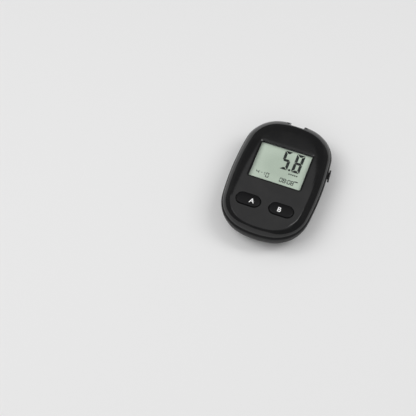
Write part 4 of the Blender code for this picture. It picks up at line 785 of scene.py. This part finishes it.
def doorTools(grow):
    gap, reach, over = form["gap"], form["length"] / 2, 12 * mm
    narrow = well["halfWidth"] - gap + grow
    wide = well["halfWidth"] + door["railWidth"] + door["footReach"] + grow
    foot = door["footLength"] - reach + grow
    half = [(wide, -reach - over), (wide, foot), (narrow, foot), (narrow, well["upper"] - gap + grow)]
    wall = plate(half + [(-x, y) for x, y in reversed(half)], -over, door["endHeight"] + grow)
    low = form["wall"] + gap - grow
    high = form["wall"] + gap + door["railThickness"] + grow
    root = door["wall"] - front["fuse"]
    outer = well["halfWidth"] + door["railWidth"] + grow
    edge = well["halfWidth"] - gap
    inner = edge - door["railWeb"]
    end = well["upper"] - door["railSetback"] + grow
    section = ((inner, root), (edge, root), (edge, low), (outer, low), (outer, high), (inner, high))
    rails = merged(*[skin([[Vector((side * x, y, z)) for x, z in section]
                           for y in (-reach - over, end)]) for side in (-1, 1)])
    half = door["tongueWidth"] / 2 + grow
    near, far = well["upper"] - 2 * gap, well["upper"] + door["tongueReach"] + grow
    back = well["upper"] - door["tongueRoot"]
    section = ((back, root), (near, root), (near, low), (far, low), (far, high), (back, high))
    tongue = skin([[Vector((x, y, z)) for y, z in section] for x in (-half, half)])
    return [meshObject(name, bm) for name, bm in zip(("wall", "rails", "tongue"),
                                                     (wall, rails, tongue))]


def makeRearCover():
    wall, gap, over = form["wall"], form["gap"], 12 * mm
    reach, halfWidth = form["length"] / 2, form["width"] / 2
    cover = meshObject("rearCover", rearShell(wall), "satinBlack")
    hull = meshObject("hull", rearHull(front["fuse"]))
    notchFace = reach - notch["depth"]
    half = notch["width"] / 2 + notch["sideWall"]
    radius = screws["headRadius"] + gap + screws["bossWall"]
    ribLower = ejector["crossUpper"] + 2 * gap + ejector["springLength"]
    extras = {
        "wellBlock": block((-well["halfWidth"] - well["wall"], well["lower"] - well["wall"],
                            wall - well["root"]),
                           (well["halfWidth"] + well["wall"], well["upper"] + well["wall"],
                            well["top"] + well["roof"])),
        "rearBosses": merged(*[column(x, y, radius, 0, boardBottom - gap, 32) for x, y in bosses]),
        "notchBacking": block((-half, notchFace - notch["wall"], notch["stripZ"] - notch["drop"]),
                              (half, reach, form["seamHeight"] - front["lipDepth"] - gap)),
        "springRib": block((ejector["springX"] - 1.1 * mm, ribLower, ejector["armBottom"]),
                           (halfWidth, ribLower + ejector["ribThickness"], boardBottom - gap)),
    }
    tools = []
    for name, bm in extras.items():
        tool = meshObject(name, bm)
        trimTo(tool, hull)
        tools.append(tool)
    combine(cover, "UNION", *tools)
    bpy.data.objects.remove(hull, do_unlink=True)
    inside = block((-well["halfWidth"], well["lower"], -over),
                   (well["halfWidth"], well["upper"], well["top"]))
    combine(cover, "DIFFERENCE", meshObject("wellInside", inside), *doorTools(gap))

    holes = []
    for side in (-1, 1):
        middle = side * well["cellX"]
        holes.append(block((middle - well["tabWidth"] / 2 - gap, well["upper"] - well["tabSlot"],
                            well["top"] - well["root"]),
                           (middle + well["tabWidth"] / 2 + gap, well["upper"], boardBottom)))
    for x, y in bosses:
        sunk = turned([(screws["headRadius"] + gap, -over), (screws["headRadius"] + gap,
                       screws["seat"]), (screws["radius"] + gap, screws["seat"]),
                       (screws["radius"] + gap, boardBottom + mm)], 40)
        holes.append(moved(sunk, (x, y, 0)))
    for i in range(-1, 2):
        holes.append(column(buzzerVents["x"], buzzerVents["y"] + i * 3 * buzzerVents["radius"],
                            buzzerVents["radius"], -over, wall + 3 * mm, 32))
    slotX = halfWidth - wall - 0.6 * mm
    holes.append(block((slotX - wall, ejector["y"] - ejector["stemLength"] / 2 - gap,
                        notch["stripZ"] - ejector["stemHeight"] / 2 - gap),
                       (halfWidth + over, ejector["y"] + ejector["stemLength"] / 2
                        + ejector["travel"] + gap,
                        notch["stripZ"] + ejector["stemHeight"] / 2 + gap)))
    bite = plate(roundedRectangle(notch["width"], 2 * notch["depth"] + 2 * mm, notch["round"],
                                  (0, reach + mm), 5),
                 notch["stripZ"] - notch["drop"] + wall, form["seamHeight"] + over)
    slit = block((-notch["stripWidth"] / 2 - gap, notchFace - notch["wall"] - 3 * mm,
                  notch["stripZ"] - notch["slot"] / 2),
                 (notch["stripWidth"] / 2 + gap, reach + over, notch["stripZ"] + notch["slot"] / 2))
    combine(cover, "DIFFERENCE", meshObject("holes", merged(*holes)), meshObject("bite", bite),
            meshObject("slit", slit))
    settle(cover)
    return stand(cover, "housing", "rear_shell", "rear_cover")


def makeBatteryDoor():
    panel = meshObject("batteryDoor", rearShell(door["wall"]), "satinBlack")
    wall, rails, tongue = doorTools(0)
    combine(panel, "INTERSECT", wall)
    hull = meshObject("hull", rearHull(front["fuse"]))
    combine(rails, "INTERSECT", hull)
    combine(panel, "UNION", rails, tongue)
    grooves = []
    for i in range(door["grooves"]):
        shift = (i - (door["grooves"] - 1) / 2) * door["groovePitch"]
        groove = skin([layer(stadium(door["gripLength"], door["grooveWidth"], grow, 10), height)
                       for grow, height in ((1.0 * mm, -mm), (0.12 * mm, -0.001 * mm),
                                            (0.03 * mm, 0.08 * mm), (-0.05 * mm, 0.3 * mm),
                                            (-0.2 * mm, door["grooveDepth"]))])
        grooves.append(moved(groove, (0, door["gripY"] + shift, 0)))
    combine(panel, "DIFFERENCE", meshObject("grooves", merged(*grooves)))
    settle(panel)
    return stand(panel, "battery_door", "rear_shell", "battery_door")


makeFrontCover()
print("front cover done")
makeRearCover()
makeBatteryDoor()
print("rear cover and door done")


# keys
keys = {
    "proud": 0.45 * mm, "edge": 0.6 * mm, "flange": 1.0 * mm, "flangeThickness": 0.7 * mm,
    "stemRadius": 1.8 * mm, "stemLow": 18.2 * mm, "stemRoot": 0.3 * mm, "dome": 0.15 * mm,
    "letterHeight": 3.1 * mm, "letterDepth": 0.2 * mm, "letterSink": 0.1 * mm,
    "boldness": 0.05 * mm, "capShare": 0.73,  # a capital's height as a share of the font size
    "letters": (("left", "A", -7.85), ("right", "B", 9.0)), "letterY": -24.0 * mm,
}


def makeKeys():
    flangeTop = form["height"] - form["wall"] - form["gap"]
    flangeLow = flangeTop - keys["flangeThickness"]
    top = form["height"] + keys["proud"]
    stages = [(keys["flange"], flangeLow), (keys["flange"], flangeTop), (0, flangeTop),
              (0, top - keys["edge"])]
    for i in range(1, 9):  # the rounded shoulder of the cap
        turn = math.pi / 2 * i / 8
        stages.append((-keys["edge"] * (1 - math.cos(turn)),
                       top - keys["edge"] * (1 - math.sin(turn))))
    for share in (0.25, 0.5, 0.75, 1.0):  # then a low dome to the middle
        inset = keys["edge"] + (keyPlace["width"] / 2 - keys["edge"] - 0.3 * mm) * share
        stages.append((-inset, top + keys["dome"] * (1 - (1 - share) ** 2)))
    for side, letter, x in keys["letters"]:
        sign = -1 if side == "left" else 1
        body = side + "_key"
        cap = skin([layer(stadium(keyPlace["length"], keyPlace["width"], grow), height)
                    for grow, height in stages])
        place = (sign * keyPlace["x"], keyPlace["y"], 0)
        cap = meshObject(side + "KeyCap", moved(cap, place), "keyBlack")
        stem = column(place[0], place[1], keys["stemRadius"], keys["stemLow"],
                      flangeLow + keys["stemRoot"])
        combine(cap, "UNION", meshObject("stem", stem))
        settle(cap, 40)
        stand(cap, body, "key_cap", body)

        words = bpy.data.curves.new("letter", "FONT")
        words.body = letter
        words.size = keys["letterHeight"] / keys["capShare"]
        words.align_x, words.align_y = "CENTER", "CENTER"
        words.extrude = keys["letterDepth"]
        words.offset = keys["boldness"]
        curve = bpy.data.objects.new("letterCurve", words)
        bpy.context.scene.collection.objects.link(curve)
        bpy.context.view_layer.update()
        mesh = bpy.data.meshes.new_from_object(
            curve.evaluated_get(bpy.context.evaluated_depsgraph_get()))
        bpy.data.objects.remove(curve, do_unlink=True)
        mark = bpy.data.objects.new(side + "KeyLetter", mesh)
        mark.location = (x * mm, keys["letterY"], top + keys["dome"] - keys["letterSink"])
        bpy.context.scene.collection.objects.link(mark)
        mesh.materials.clear()
        mesh.materials.append(finishes["printedWhite"])
        stand(mark, body, "key_cap")


makeKeys()
print("keys done")


# display
display = {
    "sheetTop": 18.95 * mm, "rise": 0.03 * mm, "bar": 1.75 * mm, "cut": 0.28 * mm,
    "digitY": -1.0, "digitHeight": 13.4, "value": (("5", 1.75, 4.9), ("8", 9.2, 5.2)),
    "point": (5.4, -0.25, 0.75),
    "timeY": -10.0, "timeHeight": 3.1, "timeWidth": 1.85, "timeBar": 0.5 * mm,
    "time": (("0", 2.95), ("8", 5.05), ("0", 7.85), ("8", 9.95)), "colon": (6.45, 0.25),
    "date": (("4", -11.95, -8.7, 2.3), ("1", -8.35, -8.7, 2.3), ("0", -5.7, -9.9, 3.4)),
    "dateWidth": 2.0, "dash": (-9.9, -7.6, 0.9, 0.4),
    "unit": (5.8, -3.4, 1.2), "unitBars": 5, "unitSize": (0.85, 0.9), "noon": (10.9, -7.3, 2.1, 0.8),
}
segmentsOf = {"0": "abcdef", "1": "bc", "4": "fgbc", "5": "afgcd", "8": "abcdefg"}


def segmentShapes(width, height, bar, cut):
    # The seven bars of a digit as flat outlines, each with mitred ends.
    w, h, m = width / 2, height, height / 2
    half = bar / 2
    shapes = {
        "a": [(-w + cut, h), (w - cut, h), (w - cut - bar, h - bar), (-w + cut + bar, h - bar)],
        "d": [(-w + cut, 0), (w - cut, 0), (w - cut - bar, bar), (-w + cut + bar, bar)],
        "g": [(-w + cut, m), (-w + cut + half, m + half), (w - cut - half, m + half),
              (w - cut, m), (w - cut - half, m - half), (-w + cut + half, m - half)],
    }
    for name, side, low, high in (("b", 1, m, h), ("c", 1, 0, m), ("f", -1, m, h), ("e", -1, 0, m)):
        outer, inner = side * w, side * (w - bar)
        lowIn = low + (bar if low == 0 else half)
        highIn = high - (bar if high == h else half)
        shapes[name] = [(outer, low + cut), (outer, high - cut),
                        (inner, highIn - cut), (inner, lowIn + cut)]
    return shapes


def makeSegments():
    # Marks on the sheet, placed in mm from the middle of the display.
    low, high = display["sheetTop"], display["sheetTop"] + display["rise"]

    def mark(points, x, y):
        placed = [(x * mm + px, displayPlace["y"] + y * mm + py) for px, py in points]
        return plate(placed, low, high)

    def digit(name, x, y, width, height, bar, cut):
        shapes = segmentShapes(width * mm, height * mm, bar, cut)
        return [mark(shapes[segment], x, y) for segment in segmentsOf[name]]

    def bar(x, y, width, height):
        return mark([(0, 0), (width * mm, 0), (width * mm, height * mm), (0, height * mm)], x, y)

    parts = []
    for name, x, width in display["value"]:
        parts += digit(name, x, display["digitY"], width, display["digitHeight"],
                       display["bar"], display["cut"])
    x, y, radius = display["point"]
    parts.append(mark(circle(radius * mm, steps=20), x, y))
    stand(meshObject("valueDigits", merged(*parts), "segmentBlack"), "housing", "display_cell")

    parts = []
    thin, cut = display["timeBar"], display["cut"] / 4
    for name, x in display["time"]:
        parts += digit(name, x, display["timeY"], display["timeWidth"], display["timeHeight"],
                       thin, cut)
    x, radius = display["colon"]
    for share in (0.3, 0.7):
        parts.append(mark(circle(radius * mm, steps=12), x,
                          display["timeY"] + share * display["timeHeight"]))
    for name, x, y, height in display["date"]:
        parts += digit(name, x, y, display["dateWidth"], height, thin, cut)
    parts.append(bar(*display["dash"]))
    parts.append(bar(*display["noon"]))
    x, y, pitch = display["unit"]
    for i in range(display["unitBars"]):
        parts.append(bar(x + i * pitch, y, *display["unitSize"]))
    stand(meshObject("smallDigits", merged(*parts), "segmentGrey"), "housing", "display_cell")


makeSegments()
print("display done")


# ejector thumb piece
def makeThumb():
    along = ejector["y"] - form["widestShift"]
    wallX = form["width"] / 2 - form["sideRadius"] + math.sqrt(form["sideRadius"] ** 2 - along ** 2)
    lean = Matrix.Rotation(math.asin(along / form["sideRadius"]), 4, "Z")
    across = Matrix.Rotation(math.pi / 2, 4, "Y")
    place = Matrix.Translation((wallX, ejector["y"], notch["stripZ"]))
    low, high, edge = form["gap"], form["gap"] + ejector["proud"], ejector["edge"]
    stages = [(0, low), (0, high - edge)]
    for i in range(1, 5):
        turn = math.pi / 2 * i / 4
        stages.append((-edge * (1 - math.cos(turn)), high - edge * (1 - math.sin(turn))))
    pad = skin([layer(roundedRectangle(ejector["height"] + 2 * grow, ejector["length"] + 2 * grow,
                                       ejector["corner"] + grow), height)
                for grow, height in stages])
    pad.transform(place @ lean @ across)
    thumb = meshObject("ejectorThumb", pad, "satinBlack")
    pitch = ejector["length"] / (ejector["ridges"] + 1)
    grooves = []
    for i in range(ejector["ridges"]):
        y = (i + 1) * pitch - ejector["length"] / 2
        points = [(high + mm, y - pitch * 0.9), (high - ejector["ridgeDepth"], y - pitch * 0.16),
                  (high - ejector["ridgeDepth"], y + pitch * 0.16), (high + mm, y + pitch * 0.9)]
        groove = skin([layer(points, z) for z in (-ejector["height"], ejector["height"])])
        groove.transform(place @ lean)
        grooves.append(groove)
    combine(thumb, "DIFFERENCE", meshObject("grooves", merged(*grooves)))
    half = ejector["stemLength"] / 2
    stem = block((ejector["barOuter"] + form["gap"], ejector["y"] - half,
                  notch["stripZ"] - ejector["stemHeight"] / 2),
                 (wallX + low + ejector["proud"] / 2, ejector["y"] + half,
                  notch["stripZ"] + ejector["stemHeight"] / 2))
    combine(thumb, "UNION", meshObject("stem", stem))
    settle(thumb)
    return stand(thumb, "ejector", "rear_shell", "ejector_thumb")


spring = {"wire": 0.2 * mm, "turns": 7, "steps": 24, "sides": 10}


def makeReturnSpring():
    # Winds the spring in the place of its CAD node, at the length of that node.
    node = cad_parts["return_spring"]
    corners = [node.matrix_world @ Vector(corner) for corner in node.bound_box]
    low, high = (Vector([pick(c[i] for c in corners) for i in range(3)]) for pick in (min, max))
    middle, wire = (low + high) / 2, spring["wire"]
    radius = (high.x - low.x) / 2 - wire
    run = high.y - low.y - 2 * wire
    along = Vector((0, 1, 0))
    rings = []
    for i in range(spring["turns"] * spring["steps"] + 1):
        turn = 2 * math.pi * i / spring["steps"]
        out = Vector((math.cos(turn), 0, math.sin(turn)))
        share = i / (spring["turns"] * spring["steps"])
        centre = Vector((middle.x, low.y + wire + run * share, middle.z)) + out * radius
        rings.append([centre + out * x + along * y for x, y in circle(wire, steps=spring["sides"])])
    coil = meshObject("returnSpring", skin(rings), "springSteel", 60)
    stand(coil, "housing", "spring_wire", "return_spring")
    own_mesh(coil)


makeThumb()
makeReturnSpring()
print("ejector done")


# CAD nodes that keep their own meshes
kept = {
    "display_window": "clearWindow", "display_gasket": "greyFoam", "display_glass": "crystalSheet",
    "display_reflector": "paleFilm", "display_frame": "whiteMoulding",
    "upper_connector": "bandedRubber", "lower_connector": "bandedRubber",
    "left_switch": "nickelPlate", "right_switch": "nickelPlate",
    "left_switch_plunger": "chipPackage", "right_switch_plunger": "chipPackage",
    "left_cell": "leftSleeve", "right_cell": "rightSleeve",
    "positive_contact": "nickelPlate", "negative_contact": "nickelPlate",
    "series_contact": "nickelPlate", "main_board": "coatedBoard",
    "controller_chip": "chipPackage", "memory_chip": "chipPackage", "crystal": "nickelPlate",
    "radio_module": "nickelPlate", "buzzer": "chipPackage", "strip_port": "ivoryMoulding",
    "ejector_arm": "whiteMoulding",
}
kept.update({f"capacitor_{i}": "tanCeramic" for i in range(1, 6)})
kept.update({f"strip_contact_{i}": "goldPlate" for i in range(1, 6)})
kept.update({f"housing_screw_{i}": "zincScrew" for i in range(1, 5)})
for node, finish in kept.items():
    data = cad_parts[node].data
    data.materials.clear()
    data.materials.append(finishes[finish])
print("kept nodes dressed:", len(kept))


# studio: floor, lights, camera
studio = {
    "floor": (0.8, 0.8, 0.8), "domeHigh": 0.74, "domeLow": 0.2, "lean": 0.5,
    "panelEdge": (0.55, 0.575), "horizon": (0.3, 0.55), "floorDrop": 0.02 * mm,
    # name, place, width and height, radiance, and whether glossy faces mirror it
    "lamps": (("leftBox", (-0.68, -0.11, 0.86), (0.3, 0.4), 3.0, True),
              ("rightBox", (0.55, 0.22, 0.85), (0.3, 0.6), 4.5, True),
              ("softTop", (-0.4, -0.3, 0.95), (0.6, 0.6), 2.6, False)),
}
view = {"place": (71.33 * mm, -305.38 * mm, 519.96 * mm), "turn": 0.36165, "tilt": 1.04842,
        "roll": 0.0017, "lens": 85.505, "sensor": 36.0, "clip": (0.01, 20)}


def makeStudio():
    bm = bmesh.new()
    bmesh.ops.create_grid(bm, x_segments=1, y_segments=1, size=3)
    floor = bpy.data.objects.new("floor", bpy.data.meshes.new("floor"))
    bm.to_mesh(floor.data)
    bm.free()
    floor.location.z = cadBox[0].z - studio["floorDrop"]
    bpy.context.scene.collection.objects.link(floor)
    material, tree, shader = startMaterial("paleFloor")
    shader.inputs["Base Color"].default_value = (*studio["floor"], 1)
    shader.inputs["Roughness"].default_value = 0.9
    shader.inputs["Specular IOR Level"].default_value = 0.0
    floor.data.materials.append(material)

    # world: pale for the camera; for the object, a bright panel that leans towards -Y
    world = bpy.data.worlds.new("softRoom")
    bpy.context.scene.world = world
    world.use_nodes = True
    tree = world.node_tree
    link = tree.links.new
    back = tree.nodes["Background"]
    place = addNode(tree, "ShaderNodeTexCoord")
    split = addNode(tree, "ShaderNodeSeparateXYZ")
    link(place.outputs["Generated"], split.inputs[0])
    lean = addNode(tree, "ShaderNodeMath", operation="MULTIPLY_ADD")
    lean.inputs[1].default_value = -studio["lean"]
    link(split.outputs["Y"], lean.inputs[0])
    link(split.outputs["Z"], lean.inputs[2])
    panel = addNode(tree, "ShaderNodeMath", operation="MULTIPLY")
    for i, (value, (start, end)) in enumerate(((lean.outputs[0], studio["panelEdge"]),
                                               (split.outputs["Z"], studio["horizon"]))):
        step = addNode(tree, "ShaderNodeMapRange", From_Min=start, From_Max=end,
                       interpolation_type="SMOOTHSTEP")
        link(value, step.inputs["Value"])
        link(step.outputs["Result"], panel.inputs[i])
    glow = addNode(tree, "ShaderNodeMapRange", To_Min=studio["domeLow"], To_Max=studio["domeHigh"])
    link(panel.outputs[0], glow.inputs["Value"])
    path = addNode(tree, "ShaderNodeLightPath")
    seen = addNode(tree, "ShaderNodeMix", data_type="FLOAT")
    seen.inputs["B"].default_value = 1.0
    link(path.outputs["Is Camera Ray"], seen.inputs["Factor"])
    link(glow.outputs["Result"], seen.inputs["A"])
    link(seen.outputs["Result"], back.inputs["Strength"])
    back.inputs["Color"].default_value = (1, 1, 1, 1)


def addLamp(name, place, size, radiance, glossy):
    # A rectangular soft box aimed at the object.
    data = bpy.data.lights.new(name, "AREA")
    data.shape = "RECTANGLE"
    data.size, data.size_y = size
    data.energy = radiance * math.pi * size[0] * size[1]
    lamp = bpy.data.objects.new(name, data)
    lamp.location = place
    lamp.rotation_mode = "QUATERNION"
    lamp.rotation_quaternion = (-Vector(place)).to_track_quat("-Z", "Y")
    lamp.visible_glossy = glossy
    bpy.context.scene.collection.objects.link(lamp)


def makeCamera():
    # right, up and back directions of the camera, from its turn, tilt and small roll
    turn, tilt, roll = view["turn"], view["tilt"], view["roll"]
    side = Vector((math.cos(turn), math.sin(turn), 0))
    ahead = Vector((-math.sin(turn) * math.cos(tilt), math.cos(turn) * math.cos(tilt),
                    -math.sin(tilt)))
    up = side.cross(ahead)
    right = side * math.cos(roll) + up * math.sin(roll)
    up = right.cross(ahead)
    data = bpy.data.cameras.new("camera")
    data.lens, data.sensor_width = view["lens"], view["sensor"]
    data.clip_start, data.clip_end = view["clip"]
    camera = bpy.data.objects.new("camera", data)
    place = Vector(view["place"])
    camera.matrix_world = Matrix((
        (right.x, up.x, -ahead.x, place.x), (right.y, up.y, -ahead.y, place.y),
        (right.z, up.z, -ahead.z, place.z), (0, 0, 0, 1)))
    bpy.context.scene.collection.objects.link(camera)
    bpy.context.scene.camera = camera


makeStudio()
for lamp in studio["lamps"]:
    addLamp(*lamp)
makeCamera()
bpy.context.scene.view_settings.view_transform = "Standard"
print("studio done")
